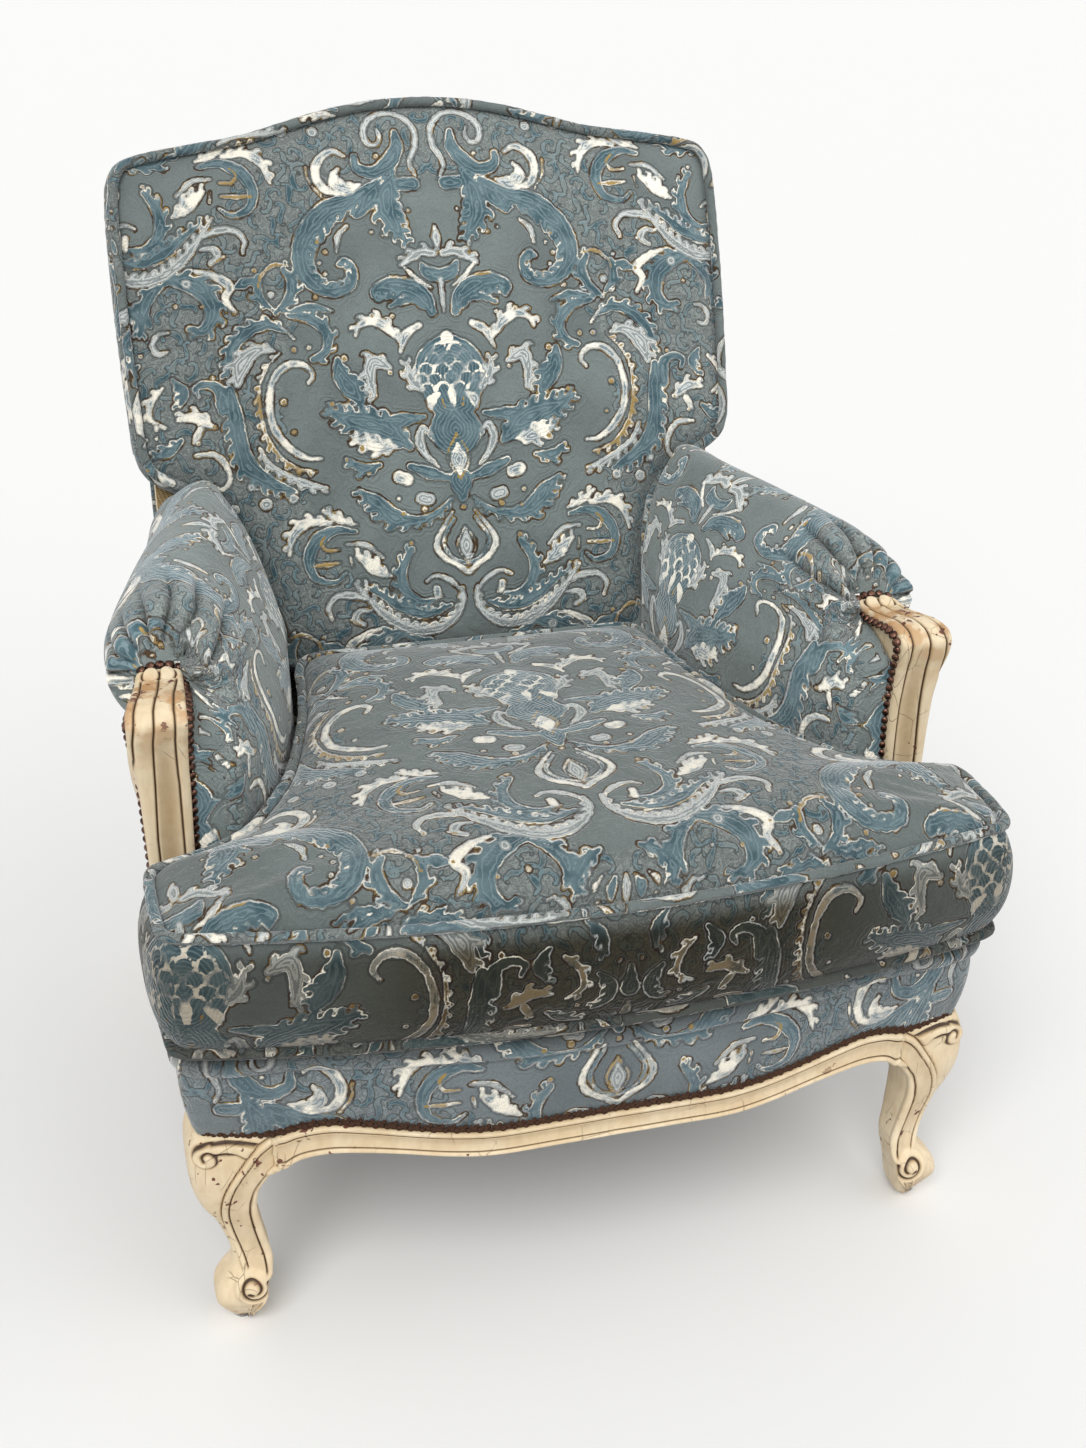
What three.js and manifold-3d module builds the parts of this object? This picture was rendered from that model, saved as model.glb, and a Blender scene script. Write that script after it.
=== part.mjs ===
// A bergere armchair: an eared, reclined back, rolled arms on show-wood posts, a moulded serpentine
// apron on cabriole legs, and a loose T-shaped seat cushion that lifts off.
// Millimetres, +Z up, the front of the chair faces -Y, right is +X.
import * as THREE from "three";
import { mergeVertices } from "three/addons/utils/BufferGeometryUtils.js";
import Module from "manifold-3d";

const wasm = await Module();
wasm.setup();

// Clearances
const play = 0.3; // gap between pieces that touch
const softClearance = 1.5; // gap round the stuffed pieces
const cushionClearance = 4; // gap between the loose cushion and the arms
const overrun = 40; // how far a cutting block reaches past what it cuts
const sameSpot = 0.001; // points closer than this are one point

// Plan of the seat
const frontReach = 430; // front face of the border on the centre line
const bowDepth = 63; // how far the bowed front runs back at its ends
const seatHalfWidth = 372; // outer face of the covered seat frame
const seatCornerRound = 16; // rounding of the border's front corners
const armWall = 37; // from the seat's outer face in to the stuffing below the arm
const platformHalfWidth = seatHalfWidth - armWall; // deck between the arm frames, at the front
const platformRear = 188; // rear edge of the deck

// Levels of the seat
const glideThick = 3; // nail-on glide under each foot
const glideRadius = 9; // radius of a glide
const legTop = 226; // top of the carved part of a front leg
const railBottom = 200; // lower edge of the seat frame inside the mouldings
const railTop = 300; // top of the seat frame
const seatTop = 318; // top of the covered deck
const coverThick = 6; // border cover with its wadding

// Seat frame timber
const railThick = 24; // thickness of each seat rail
const apronProud = 1; // moulding ahead of the border fabric
const apronLowest = 183; // lowest edge of the apron, at its middle
const apronHeight = 38; // height of the moulding
const sideCover = 7; // fabric and wadding outside the side rails
const sideMouldProud = 6; // moulding of the side rail outside its face
const blockDepth = 60; // size of a glued corner block along the rails
const blockHeight = 38; // height of a corner block

// Front legs
const kneeProud = 9; // outermost point of the knee outside the seat's face
const legBreadth = 84.5; // breadth of the knee
const legFront = 390; // front of the knee
const legDepth = 84; // depth of the knee
const legRound = 13; // rounding of the leg's corners
const footScrollIn = 39; // eye of the foot scroll in from the knee's outermost point
const footScrollZ = 38; // height of the eye
const footScrollRadius = 20; // outer radius of the foot scroll
const footScrollProud = 1; // scroll ahead of the leg

// Rear legs and stiles
const rearDrawIn = 50; // outer face of a rear leg and its stile, in from the seat's face
const rearLegWidth = 36; // breadth of a rear leg and its stile
const rearLegFront = 190; // front edge of a rear leg at the seat
const rearLegSplay = 62; // how far the rear foot stands behind the seat frame
const rearFootDepth = 34; // depth of the rear foot

// Back, drawn on its own reclined plane: across, up the slope, and out of the face
const backTilt = THREE.MathUtils.degToRad(21.3); // recline from the vertical
const backFootY = 169; // where the face plane starts, depth
const backFootZ = 448; // where the face plane starts, height
const earOverhang = 20; // how far the ears stand out past the stiles
const backRise = 582; // from the plane's start up to the peak
const backPadThick = 43; // stuffing and cover at the edge
const backCrown = 19; // how far the middle of the face stands out
const backFrameThick = 28; // timber of the back frame
const backDraw = 2; // the pad's rear edge is drawn in this far
const backBulge = 7; // the pad's sides swell out this far
const frameInset = 8; // the timber lies this far inside the covered outline
const bandThick = 3; // cover and wadding on the edge of the frame
const outerPanelThick = 3; // outside back and outside arm panels
const crestRailBottom = 445; // lower edge of the crest rail, up the slope
const lowerRailBottom = -10; // lower edge of the lower back rail, up the slope
const lowerRailHeight = 50; // height of the lower back rail
const bandStart = 215; // where the edge band begins, up the slope
const strapThick = 2.4; // webbing
const strapWidth = 50; // webbing

// Arms
const armTop = 628; // top of the arm roll
const armOverhang = 33; // outermost point of the arm roll outside the seat's face
const rollTaper = 71; // how far the roll's outer side comes in by its rear end
const armFront = 228; // front of the arm's nose beside the post
const armRailHeight = 28; // arm rail, under the roll
const armRailThick = 24; // arm rail, across
const armRailTop = 500; // top of the arm rail
const armRailGap = 7; // inner face of the arm rail outside the stuffing below the roll
const postGap = 6; // inner face of an arm post outside the stuffing below the roll
const postWidth = 45; // width of an arm post
const postFront = 233; // front of the knuckle of an arm post
const postReach = 88; // from the knuckle to the rear end of the post's top
const postTop = 574; // top of an arm post
const trimThick = 3; // nail trim strip
const trimWidth = 9; // nail trim strip

// Loose cushion
const cushionOverhang = 21; // piping at the front ears outside the seat's face
const cushionForward = 15; // piping ahead of the border's front
const cushionLength = 580; // front edge to rear edge
const cushionTopSeam = 443; // height of the top seam
const cushionBottomSeam = 327; // height of the bottom seam
const cushionCrown = 46; // crown above the top seam
const cushionBulge = 24; // how far the sides swell out between the seams
const weltRadius = 5; // cord-filled piping
const cushionWall = 5; // cover with its wadding wrap
const zipHalfLength = 150; // half length of the zip in the rear boxing
const zipHeight = 8; // height of the zip tape

// Seat suspension
const springTurns = 3; // turns of a seat spring
const springWire = 1.9; // radius of the spring wire
const springRadius = 36; // radius of the end coils
const springWaist = 26; // radius of the middle coils
const springPitchX = 150; // spacing across
const springPitchY = 130; // spacing front to rear
const springMiddleY = -110; // middle row of springs
const springRows = 3; // rows and columns of springs
const hessianThick = 2; // cloth over the springs
const dustThick = 1.5; // black cloth under the seat

// Colours and finishes
const paint = [0xd9c39a, 0.55, 0];
const bareWood = [0xb08a5c, 0.75, 0];
const velvet = [0x5f7580, 0.9, 0];
const velvetDark = [0x566871, 0.9, 0];
const pipingCloth = [0x70868f, 0.9, 0];
const jute = [0x9c8256, 0.95, 0];
const hair = [0x4b3a2a, 0.95, 0];
const foam = [0xe3d9b8, 0.9, 0];
const steel = [0x8d8f90, 0.35, 1];
const copperNail = [0x4a2c1e, 0.4, 0.9];
const blackCloth = [0x26241f, 0.95, 0];

const chair = new THREE.Group();

// Basic shapes

// Joins rings of points, stacked upwards, into one closed skin with flat ends.
function loft(rings) {
  const count = rings[0].length;
  const flat = rings[0].map((point) => new THREE.Vector2(point.x, point.y));
  const turned = THREE.ShapeUtils.isClockWise(flat);
  const ordered = turned ? rings.map((ring) => [...ring].reverse()) : rings;
  const faces = [];
  for (let level = 0; level + 1 < ordered.length; level++) {
    for (let i = 0; i < count; i++) {
      const here = level * count + i;
      const next = level * count + ((i + 1) % count);
      faces.push(here, next, next + count);
      faces.push(here, next + count, here + count);
    }
  }
  faces.push(...cap(ordered[0]).flatMap(([a, b, c]) => [c, b, a]));
  const lift = (ordered.length - 1) * count;
  faces.push(...cap(ordered.at(-1)).flatMap((face) => face.map((i) => i + lift)));
  return skin(ordered.flat(), faces);
}

// Triangles that fill a ring seen from above.
function cap(ring) {
  const outline = ring.map((point) => new THREE.Vector2(point.x, point.y));
  return THREE.ShapeUtils.triangulateShape(outline, []);
}

// Joins rings into a closed loop, the last to the first.
function ringLoop(rings) {
  const count = rings[0].length;
  const total = rings.length * count;
  const faces = [];
  for (let level = 0; level < rings.length; level++) {
    for (let i = 0; i < count; i++) {
      const here = level * count + i;
      const next = level * count + ((i + 1) % count);
      faces.push(here, next, (next + count) % total);
      faces.push(here, (next + count) % total, (here + count) % total);
    }
  }
  return skin(rings.flat(), faces);
}

function skin(points, faces) {
  const geometry = new THREE.BufferGeometry().setFromPoints(points);
  geometry.setIndex(faces);
  return geometry;
}

// A solid of a geometry, for joins and cuts.
function solid(geometry) {
  const bare = new THREE.BufferGeometry();
  const open = geometry.index ? geometry.toNonIndexed() : geometry;
  bare.setAttribute("position", open.getAttribute("position"));
  const merged = mergeVertices(bare, sameSpot);
  return new wasm.Manifold(
    new wasm.Mesh({
      numProp: 3,
      vertProperties: new Float32Array(merged.getAttribute("position").array),
      triVerts: new Uint32Array(merged.index.array),
    }),
  );
}

function toGeometry(shape) {
  const mesh = shape.getMesh();
  const geometry = new THREE.BufferGeometry();
  geometry.setAttribute("position", new THREE.BufferAttribute(mesh.vertProperties, 3));
  geometry.setIndex(new THREE.BufferAttribute(mesh.triVerts, 1));
  const facets = geometry.toNonIndexed();
  facets.computeVertexNormals();
  return facets;
}

const at = (x, y, z = 0) => new THREE.Vector3(x, y, z);
const flatPoint = (x, y) => new THREE.Vector2(x, y);
const level = (points, z) => points.map((point) => at(point.x, point.y, z));

// A plan outline raised between two heights.
function prism(points, low, high) {
  return solid(loft([level(points, low), level(points, high)]));
}

function box(x0, x1, y0, y1, z0, z1) {
  return prism([flatPoint(x0, y0), flatPoint(x1, y0), flatPoint(x1, y1), flatPoint(x0, y1)], z0, z1);
}

// An outline across and up, extruded from front to rear.
function standing(points, front, rear) {
  const geometry = loft([level(points, -rear), level(points, -front)]);
  return solid(geometry.rotateX(Math.PI / 2));
}

// An outline in depth and height, extruded to the right.
const sidewaysTurn = new THREE.Matrix4().makeBasis(at(0, 1, 0), at(0, 0, 1), at(1, 0, 0));
function sideways(points, left, right) {
  const geometry = loft([level(points, left), level(points, right)]);
  return solid(geometry.applyMatrix4(sidewaysTurn));
}

// An outline drawn on the reclined plane of the back, raised out of that plane.
const backTurn = new THREE.Matrix4()
  .makeTranslation(0, backFootY, backFootZ)
  .multiply(new THREE.Matrix4().makeRotationX(Math.PI / 2 - backTilt));
function onBack(points, low, high) {
  return solid(loft([level(points, low), level(points, high)]).applyMatrix4(backTurn));
}

// Depth and height of a point on the centre line of the back's plane.
function backPoint(up, out) {
  const point = at(0, up, out).applyMatrix4(backTurn);
  return flatPoint(point.y, point.z);
}

// The other half of an outline whose given half starts and ends on the centre line.
function bothSides(half) {
  const other = half.filter((point) => point.x > 0).map((point) => flatPoint(-point.x, point.y));
  return half.concat(other.reverse());
}

// Points along a smooth closed curve, as close together as the given ones are.
function smoothLoop(points, count) {
  const knots = points.map((point) => at(point.x, point.y));
  const curve = new THREE.CatmullRomCurve3(knots, true, "centripetal");
  const places = curve.getPoints(count).slice(0, count);
  return places.map((point) => flatPoint(point.x, point.y));
}

// Even points along a smooth open curve through the given ones.
function smoothLine(points, count) {
  const curve = new THREE.SplineCurve(points);
  return curve.getSpacedPoints(count);
}

// An outline moved outwards along its normals; it runs counter-clockwise.
function outset(points, distance) {
  return points.map((point, i) => {
    const before = points.at(i - 1);
    const after = points[(i + 1) % points.length];
    const along = after.clone().sub(before).normalize();
    return flatPoint(point.x + along.y * distance, point.y - along.x * distance);
  });
}

function shrunk(points, share, middle) {
  return points.map((point) => point.clone().sub(middle).multiplyScalar(share).add(middle));
}

// A share of the way along a table of places and heights.
function along(table, place) {
  for (let i = 1; i < table.length; i++) {
    const [from, low] = table[i - 1];
    const [to, high] = table[i];
    if (place <= to) {
      return THREE.MathUtils.mapLinear(place, from, to, low, high);
    }
  }
  return table.at(-1)[1];
}

// Naming and placing

function put(name, shape, [colour, roughness, metalness]) {
  const material = new THREE.MeshStandardMaterial({ color: colour, roughness, metalness });
  const mesh = new THREE.Mesh(toGeometry(shape), material);
  mesh.name = name;
  chair.add(mesh);
  return mesh;
}

// A piece and its mirror image on the other side of the chair.
function putPair(name, shape, finish) {
  put(name + "_right", shape, finish);
  put(name + "_left", shape, finish).scale.x = -1;
}

// The bowed front

function bowY(x, back) {
  return -frontReach + back + bowDepth * (x / seatHalfWidth) ** 2;
}

const bowSteps = 24;

function bowLine(halfWidth, back) {
  const line = [];
  for (let i = 0; i <= bowSteps; i++) {
    const x = halfWidth * ((2 * i) / bowSteps - 1);
    line.push(flatPoint(x, bowY(x, back)));
  }
  return line;
}

// A bowed board between two distances behind the border's front face.
function bowBoard(halfWidth, front, rear, low, high) {
  const outline = bowLine(halfWidth, front).concat(bowLine(halfWidth, rear).reverse());
  return prism(outline, low, high);
}

// Lower edge of the apron and the line where the fabric starts, as shares of the bow's half width
// and of the moulding's height above the apron's lowest edge.
const apronEdgeShares = [
  [0, 0],
  [0.34, 0.01],
  [0.42, 0.1],
  [0.52, 0.27],
  [0.61, 0.43],
  [0.69, 0.5],
  [0.75, 0.36],
  [0.78, 0.18],
  [0.803, -0.15],
];
const nailLineShares = [
  [0, 1],
  [0.3, 1.14],
  [0.45, 1.3],
  [0.6, 1.47],
  [0.69, 1.5],
  [0.76, 1.36],
  [0.795, 1.2],
];

function apronEdge(x) {
  return apronLowest + apronHeight * along(apronEdgeShares, Math.abs(x) / seatHalfWidth);
}

function nailLine(x) {
  const share = Math.abs(x) / seatHalfWidth;
  const raised = apronLowest + apronHeight * along(nailLineShares, share);
  return share > nailLineShares.at(-1)[0] ? legTop + play : raised;
}

// Places across the front where either line bends.
const bends = [...apronEdgeShares, ...nailLineShares].map(([share]) => share * seatHalfWidth);

function edgeLine(halfWidth, height) {
  const inside = bends.filter((x) => x < halfWidth);
  const places = new Set([...inside, ...inside.map((x) => -x), halfWidth, -halfWidth]);
  const sorted = [...places].sort((a, b) => a - b);
  return sorted.map((x) => flatPoint(x, height(x)));
}

// Everything between two curved lines of the front elevation.
function elevation(halfWidth, low, high) {
  const outline = edgeLine(halfWidth, low).concat(edgeLine(halfWidth, high).reverse());
  return standing(outline, -frontReach - overrun, 0);
}

// Wooden seat frame

const sideRailOuter = seatHalfWidth - sideCover;
const kneeOuter = seatHalfWidth + kneeProud;
const rearLegOuter = seatHalfWidth - rearDrawIn;
const rearLegInner = rearLegOuter - rearLegWidth;
const legInner = kneeOuter - legBreadth;
const railFace = coverThick + play;
const railRear = railFace + railThick;
const frontRailHalf = legInner - play;
const legBack = -legFront + legDepth;
const sideRailInner = sideRailOuter - railThick;
const sideRailFront = legBack + play;
const sideRailRear = rearLegFront - play;
const taperShare = (sideRailOuter - rearLegOuter) / (sideRailRear - sideRailFront);

// How far the sides of the frame have drawn in at a depth.
function drawnIn(y) {
  return taperShare * (y - sideRailFront);
}

// Leans a piece that was made square so that it follows the side of the frame.
const taperTurn = new THREE.Matrix4().set(
  1, -taperShare, 0, taperShare * sideRailFront,
  0, 1, 0, 0,
  0, 0, 1, 0,
  0, 0, 0, 1,
);
function tapered(shape) {
  return solid(toGeometry(shape).applyMatrix4(taperTurn));
}

// Layers of the back, from its face plane to the outside, and the rear legs under it
const frameFront = backPadThick + strapThick + 2 * play;
const frameBack = frameFront + backFrameThick;
const stileBend = backPoint(0, -frameBack);
const rearLegBack = stileBend.x;
const rearFootBack = rearLegBack + rearLegSplay;
const rearFootFront = rearFootBack - rearFootDepth;
const rearRailInner = rearLegBack - coverThick - railThick;

function frontRail() {
  const board = bowBoard(frontRailHalf, railFace, railRear, 0, railTop);
  const moulding = bowBoard(frontRailHalf, -apronProud, railRear, 0, railTop);
  const boardPart = board.intersect(elevation(frontRailHalf, apronEdge, () => railTop));
  const mouldPart = moulding.intersect(elevation(frontRailHalf, apronEdge, nailLine));
  return boardPart.add(mouldPart);
}

// Lower edge of the side rail: shares of its length, and of the moulding's height.
const sideEdgeShares = [
  [0, -0.1],
  [0.06, 0.3],
  [0.16, 0.5],
  [0.32, 0.3],
  [0.5, 0.12],
  [0.68, 0.3],
  [0.84, 0.5],
  [0.94, 0.3],
  [1, -0.1],
];

function sideRail() {
  const length = sideRailRear - sideRailFront;
  const edge = sideEdgeShares.map(([share, rise]) =>
    flatPoint(sideRailFront + share * length, apronLowest + rise * apronHeight),
  );
  const corner = (y, z) => flatPoint(y, z);
  const top = (z) => [corner(sideRailRear, z), corner(sideRailFront, z)];
  const board = sideways(edge.concat(top(railTop)), sideRailInner, sideRailOuter);
  const outer = sideRailOuter + sideMouldProud;
  return tapered(board.add(sideways(edge.concat(top(legTop)), sideRailInner, outer)));
}

function rearRail() {
  const half = rearLegInner - play;
  return box(-half, half, rearRailInner, rearRailInner + railThick, railBottom, railTop);
}

// Front leg, level by level from the floor: height, then the outer and inner faces as shares of
// the breadth in from the knee, then the inner and outer front edges and the back as shares of
// the depth in from the front.
const legLevelShares = [
  [0, 0.33, 0.6, 0.2, 0.25, 0.45],
  [0.04, 0.27, 0.66, 0.14, 0.18, 0.52],
  [0.135, 0.21, 0.7, 0.06, 0.08, 0.57],
  [0.21, 0.24, 0.74, 0.08, 0.13, 0.58],
  [0.27, 0.32, 0.765, 0.13, 0.21, 0.6],
  [0.345, 0.37, 0.77, 0.16, 0.28, 0.62],
  [0.435, 0.34, 0.75, 0.14, 0.31, 0.67],
  [0.57, 0.18, 0.74, 0.08, 0.25, 0.77],
  [0.66, 0.08, 0.79, 0.04, 0.21, 0.86],
  [0.73, 0.03, 0.88, 0.02, 0.17, 0.91],
  [0.785, 0, 0.97, 0, 0.155, 0.94],
  [0.885, 0.03, 1, 0, 0.19, 0.98],
  [1, 0.08, 1, 0.01, 0.25, 1],
];
const cornerDiagonalShare = 0.3; // where a rounded corner's middle lies, from the sharp corner

// A four-cornered ring with each corner rounded by three points.
function roundedRing(corners, round, z) {
  return corners.flatMap((corner, i) => {
    const before = corners.at(i - 1);
    const after = corners[(i + 1) % corners.length];
    const back = before.clone().sub(corner).setLength(round);
    const on = after.clone().sub(corner).setLength(round);
    const middle = back.clone().add(on).multiplyScalar(cornerDiagonalShare);
    return [back, middle, on].map((step) => at(corner.x + step.x, corner.y + step.y, z));
  });
}

function frontLeg() {
  const base = glideThick + play;
  const rings = legLevelShares.map(([rise, outer, inner, innerFront, outerFront, back]) => {
    const x1 = kneeOuter - outer * legBreadth;
    const x0 = kneeOuter - inner * legBreadth;
    const rear = -legFront + back * legDepth;
    const corners = [
      flatPoint(x0, -legFront + innerFront * legDepth),
      flatPoint(x1, -legFront + outerFront * legDepth),
      flatPoint(x1, rear),
      flatPoint(x0, rear),
    ];
    const round = Math.min(legRound, (x1 - x0) / 3, (rear - corners[1].y) / 3);
    return roundedRing(corners, round, base + rise * (legTop - base));
  });
  const scroll = new THREE.CylinderGeometry(footScrollRadius, footScrollRadius, legDepth / 2, 20);
  scroll.translate(kneeOuter - footScrollIn, -legFront - footScrollProud + legDepth / 4, footScrollZ);
  const block = box(legInner, sideRailOuter, -legFront, legBack, legTop - coverThick, railTop);
  const insideCover = prism(deckOutline(railFace), 0, railTop);
  return solid(loft(rings)).add(solid(scroll)).add(block.intersect(insideCover));
}

// Rear leg and stile in one piece.
const sabreShares = [
  [0.24, 0.66],
  [0.52, 0.28],
  [0.8, 0.05],
]; // height up to the rail, and how much of the splay is left there

function rearLeg() {
  const base = glideThick + play;
  const drop = railBottom - base;
  const sabre = (foot, top) =>
    sabreShares.map(([rise, left]) => flatPoint(top + left * (foot - top), base + rise * drop));
  const topOfStile = crestRailBottom - play;
  const outline = [
    flatPoint(rearFootBack, base),
    ...sabre(rearFootBack, rearLegBack),
    flatPoint(rearLegBack, railBottom),
    stileBend,
    backPoint(topOfStile, -frameBack),
    backPoint(topOfStile, -frameFront),
    backPoint(0, -frameFront),
    flatPoint(rearLegFront, railTop),
    flatPoint(rearLegFront, railBottom),
    ...sabre(rearFootFront, rearLegFront).reverse(),
    flatPoint(rearFootFront, base),
  ];
  return sideways(outline, rearLegInner, rearLegOuter);
}

const blockBottom = railTop - blockHeight;

// A point on the inner side of a side rail, less the clearance.
function besideRail(y) {
  return flatPoint(sideRailInner - play - drawnIn(y), y);
}

function frontCornerBlock() {
  const leg = legInner - play;
  const outline = [
    besideRail(legBack + blockDepth),
    besideRail(sideRailFront),
    flatPoint(leg, sideRailFront),
    flatPoint(leg, bowY(leg, railRear + play)),
    flatPoint(leg - blockDepth, bowY(leg - blockDepth, railRear + play)),
  ];
  return prism(outline, blockBottom, railTop - play);
}

function rearCornerBlock() {
  const railInner = rearRailInner - play;
  const outline = [
    besideRail(sideRailRear - blockDepth),
    besideRail(sideRailRear),
    flatPoint(rearLegInner - play, sideRailRear),
    flatPoint(rearLegInner - play, railInner),
    flatPoint(rearLegInner - blockDepth, railInner),
  ];
  return prism(outline, blockBottom, railTop - play);
}

function footGlide(x, y) {
  const disc = new THREE.CylinderGeometry(glideRadius, glideRadius, glideThick, 16);
  return solid(disc.rotateX(Math.PI / 2).translate(x, y, glideThick / 2));
}

// Seat suspension and deck

// The space inside the seat frame, less the clearance.
function insideFrame() {
  const half = legInner - play;
  const right = [
    flatPoint(half, legBack + play),
    besideRail(legBack + play),
    besideRail(sideRailRear),
    flatPoint(rearLegInner - play, sideRailRear),
    flatPoint(rearLegInner - play, rearRailInner - play),
  ];
  const left = right.map((point) => flatPoint(-point.x, point.y)).reverse();
  return prism([...bowLine(half, railRear + play), ...right, ...left], 0, railTop);
}

const dustBottom = railBottom;
const strapBottom = dustBottom + dustThick + play;
const strapTop = strapBottom + strapThick;
const hessianBottom = railTop + play;
const hessianTop = hessianBottom + hessianThick;
const springSpots = Array.from({ length: springRows }, (_, i) => i - (springRows - 1) / 2);
const strapSpots = [-1.5, -0.5, 0.5, 1.5];

function seatWebbing() {
  let net = null;
  for (const spot of strapSpots) {
    const x = spot * springPitchX;
    const y = springMiddleY + spot * springPitchY;
    const half = strapWidth / 2;
    const long = seatHalfWidth + overrun;
    const lengthwise = box(x - half, x + half, -frontReach, long, strapBottom, strapTop);
    const crosswise = box(-long, long, y - half, y + half, strapBottom, strapTop);
    const cross = lengthwise.add(crosswise);
    net = net ? net.add(cross) : cross;
  }
  return net.intersect(insideFrame());
}

// One coil spring, its ends level turns that narrow to the waist and widen again.
const springSides = 4;
const springSteps = 8;

function seatSpring(x, y) {
  const low = strapTop + play + springWire;
  const high = hessianBottom - play - springWire;
  const total = springTurns * springSteps;
  const points = [];
  for (let i = 0; i <= total; i++) {
    const share = i / total;
    const angle = share * springTurns * 2 * Math.PI;
    const radius = springWaist + (springRadius - springWaist) * (2 * share - 1) ** 2;
    const z = THREE.MathUtils.lerp(low, high, share);
    points.push(at(x + radius * Math.cos(angle), y + radius * Math.sin(angle), z));
  }
  const section = new THREE.Shape();
  for (let i = 0; i < springSides; i++) {
    const angle = (i / springSides) * 2 * Math.PI;
    const spot = [springWire * Math.cos(angle), springWire * Math.sin(angle)];
    if (i === 0) {
      section.moveTo(...spot);
    } else {
      section.lineTo(...spot);
    }
  }
  const path = new THREE.CatmullRomCurve3(points);
  return solid(new THREE.ExtrudeGeometry(section, { steps: total, extrudePath: path }));
}

// Plan of the covered deck: bowed front, rounded corners, ears ahead of the posts.
const coverSideEnd = -postFront - softClearance;

function deckOutline(inset) {
  const half = seatHalfWidth - inset;
  const straight = half - seatCornerRound;
  const cornerY = bowY(straight, inset);
  const rounding = [0.25, 0.5, 0.75, 1].map((share) => {
    const angle = (share * Math.PI) / 2;
    const x = straight + seatCornerRound * Math.sin(angle);
    return flatPoint(x, cornerY + seatCornerRound * (1 - Math.cos(angle)));
  });
  const front = bowLine(straight, inset).filter((point) => point.x > 0);
  const right = [
    ...front,
    ...rounding,
    flatPoint(half, coverSideEnd),
    flatPoint(platformHalfWidth - inset, coverSideEnd),
    flatPoint(platformHalfWidth - drawnIn(platformRear) - inset, platformRear - inset),
  ];
  const middleFront = flatPoint(0, bowY(0, inset));
  const middleRear = flatPoint(0, platformRear - inset);
  return bothSides([middleFront, ...right, middleRear]);
}

function borderCover() {
  const outer = prism(deckOutline(0), railBottom, seatTop);
  const hollow = prism(deckOutline(coverThick), 0, seatTop - coverThick);
  const wide = seatHalfWidth + overrun;
  const behind = box(-wide, wide, coverSideEnd - play, platformRear + overrun, 0, seatTop - coverThick);
  const clearLine = (x) => nailLine(x) + play;
  const under = elevation(wide, () => 0, clearLine);
  return outer.subtract(hollow).subtract(behind).subtract(under);
}

function frontNailTrim() {
  const half = seatHalfWidth - seatCornerRound;
  const strip = bowBoard(half, -play - trimThick, -play, 0, railTop);
  const low = (x) => nailLine(x) + 2 * play;
  const high = (x) => nailLine(x) + trimWidth;
  return strip.intersect(elevation(half, low, high));
}

function seatPad() {
  return prism(deckOutline(coverThick + play), hessianTop + play, seatTop - coverThick - play);
}

function hessian() {
  return prism(deckOutline(coverThick + play), hessianBottom, hessianTop);
}

function dustCover() {
  const wide = seatHalfWidth + overrun;
  const sheet = box(-wide, wide, -frontReach, wide, dustBottom, dustBottom + dustThick);
  return sheet.intersect(insideFrame());
}

// Back

// Half outline of the covered back: shares of the half width across the ears and of the rise.
const backOutlineShares = [
  [0, -0.055],
  [0.3, -0.055],
  [0.56, -0.055],
  [0.63, -0.038],
  [0.655, 0.005],
  [0.67, 0.1],
  [0.69, 0.175],
  [0.72, 0.225],
  [0.8, 0.272],
  [0.9, 0.305],
  [0.955, 0.325],
  [0.985, 0.36],
  [0.995, 0.45],
  [1.002, 0.6],
  [1.002, 0.74],
  [0.997, 0.83],
  [0.985, 0.87],
  [0.955, 0.896],
  [0.9, 0.908],
  [0.72, 0.926],
  [0.56, 0.94],
  [0.42, 0.962],
  [0.28, 0.983],
  [0.14, 0.996],
  [0, 1],
];
const backHalfWidth = rearLegOuter + earOverhang;
const backPointCount = 64;
const backOutline = smoothLoop(
  bothSides(backOutlineShares.map(([x, y]) => flatPoint(x * backHalfWidth, y * backRise))),
  backPointCount,
);
const backMiddle = flatPoint(0, backRise / 2);

// Rings of the pad: height out of the face plane as a share of its thickness, and the outset.
const crownShares = [
  [1, 0],
  [0.96, 0.33],
  [0.86, 0.62],
  [0.68, 0.85],
  [0.42, 0.97],
  [0.16, 1],
]; // share of the outline left, and share of the crown reached

const backSeam = 2 * weltRadius + 2 * play; // the face is drawn in this far behind its piping

function backPadShape(extra) {
  const rings = [
    level(outset(backOutline, extra - backDraw), -backPadThick - extra),
    level(outset(backOutline, extra + backBulge), (-backPadThick - backSeam) / 2),
    level(outset(backOutline, extra), -backSeam - play),
    level(outset(backOutline, extra - backSeam), -backSeam),
  ];
  const face = outset(backOutline, extra - backSeam);
  for (const [share, reached] of crownShares) {
    rings.push(level(shrunk(face, share, backMiddle), reached * backCrown + extra));
  }
  return solid(loft(rings).applyMatrix4(backTurn));
}

// Piping round a closed outline.
const weltSides = 6;

function weltLoop(outline, height) {
  const rings = outline.map((point, i) => {
    const before = outline.at(i - 1);
    const after = outline[(i + 1) % outline.length];
    const along = after.clone().sub(before).normalize();
    const ring = [];
    for (let k = 0; k < weltSides; k++) {
      const angle = (-k / weltSides) * 2 * Math.PI;
      const out = weltRadius * Math.cos(angle);
      const up = weltRadius * Math.sin(angle);
      ring.push(at(point.x + along.y * out, point.y - along.x * out, height + up));
    }
    return ring;
  });
  return ringLoop(rings);
}

function backWelt() {
  const line = outset(backOutline, -weltRadius);
  return solid(weltLoop(line, -weltRadius).applyMatrix4(backTurn));
}

// A block on the back's plane that keeps what lies above a line up the slope.
function aboveLine(up) {
  const wide = backHalfWidth + overrun;
  const top = backRise + overrun;
  const outline = [flatPoint(-wide, up), flatPoint(wide, up), flatPoint(wide, top), flatPoint(-wide, top)];
  return onBack(outline, -frameBack - overrun, overrun);
}

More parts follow.
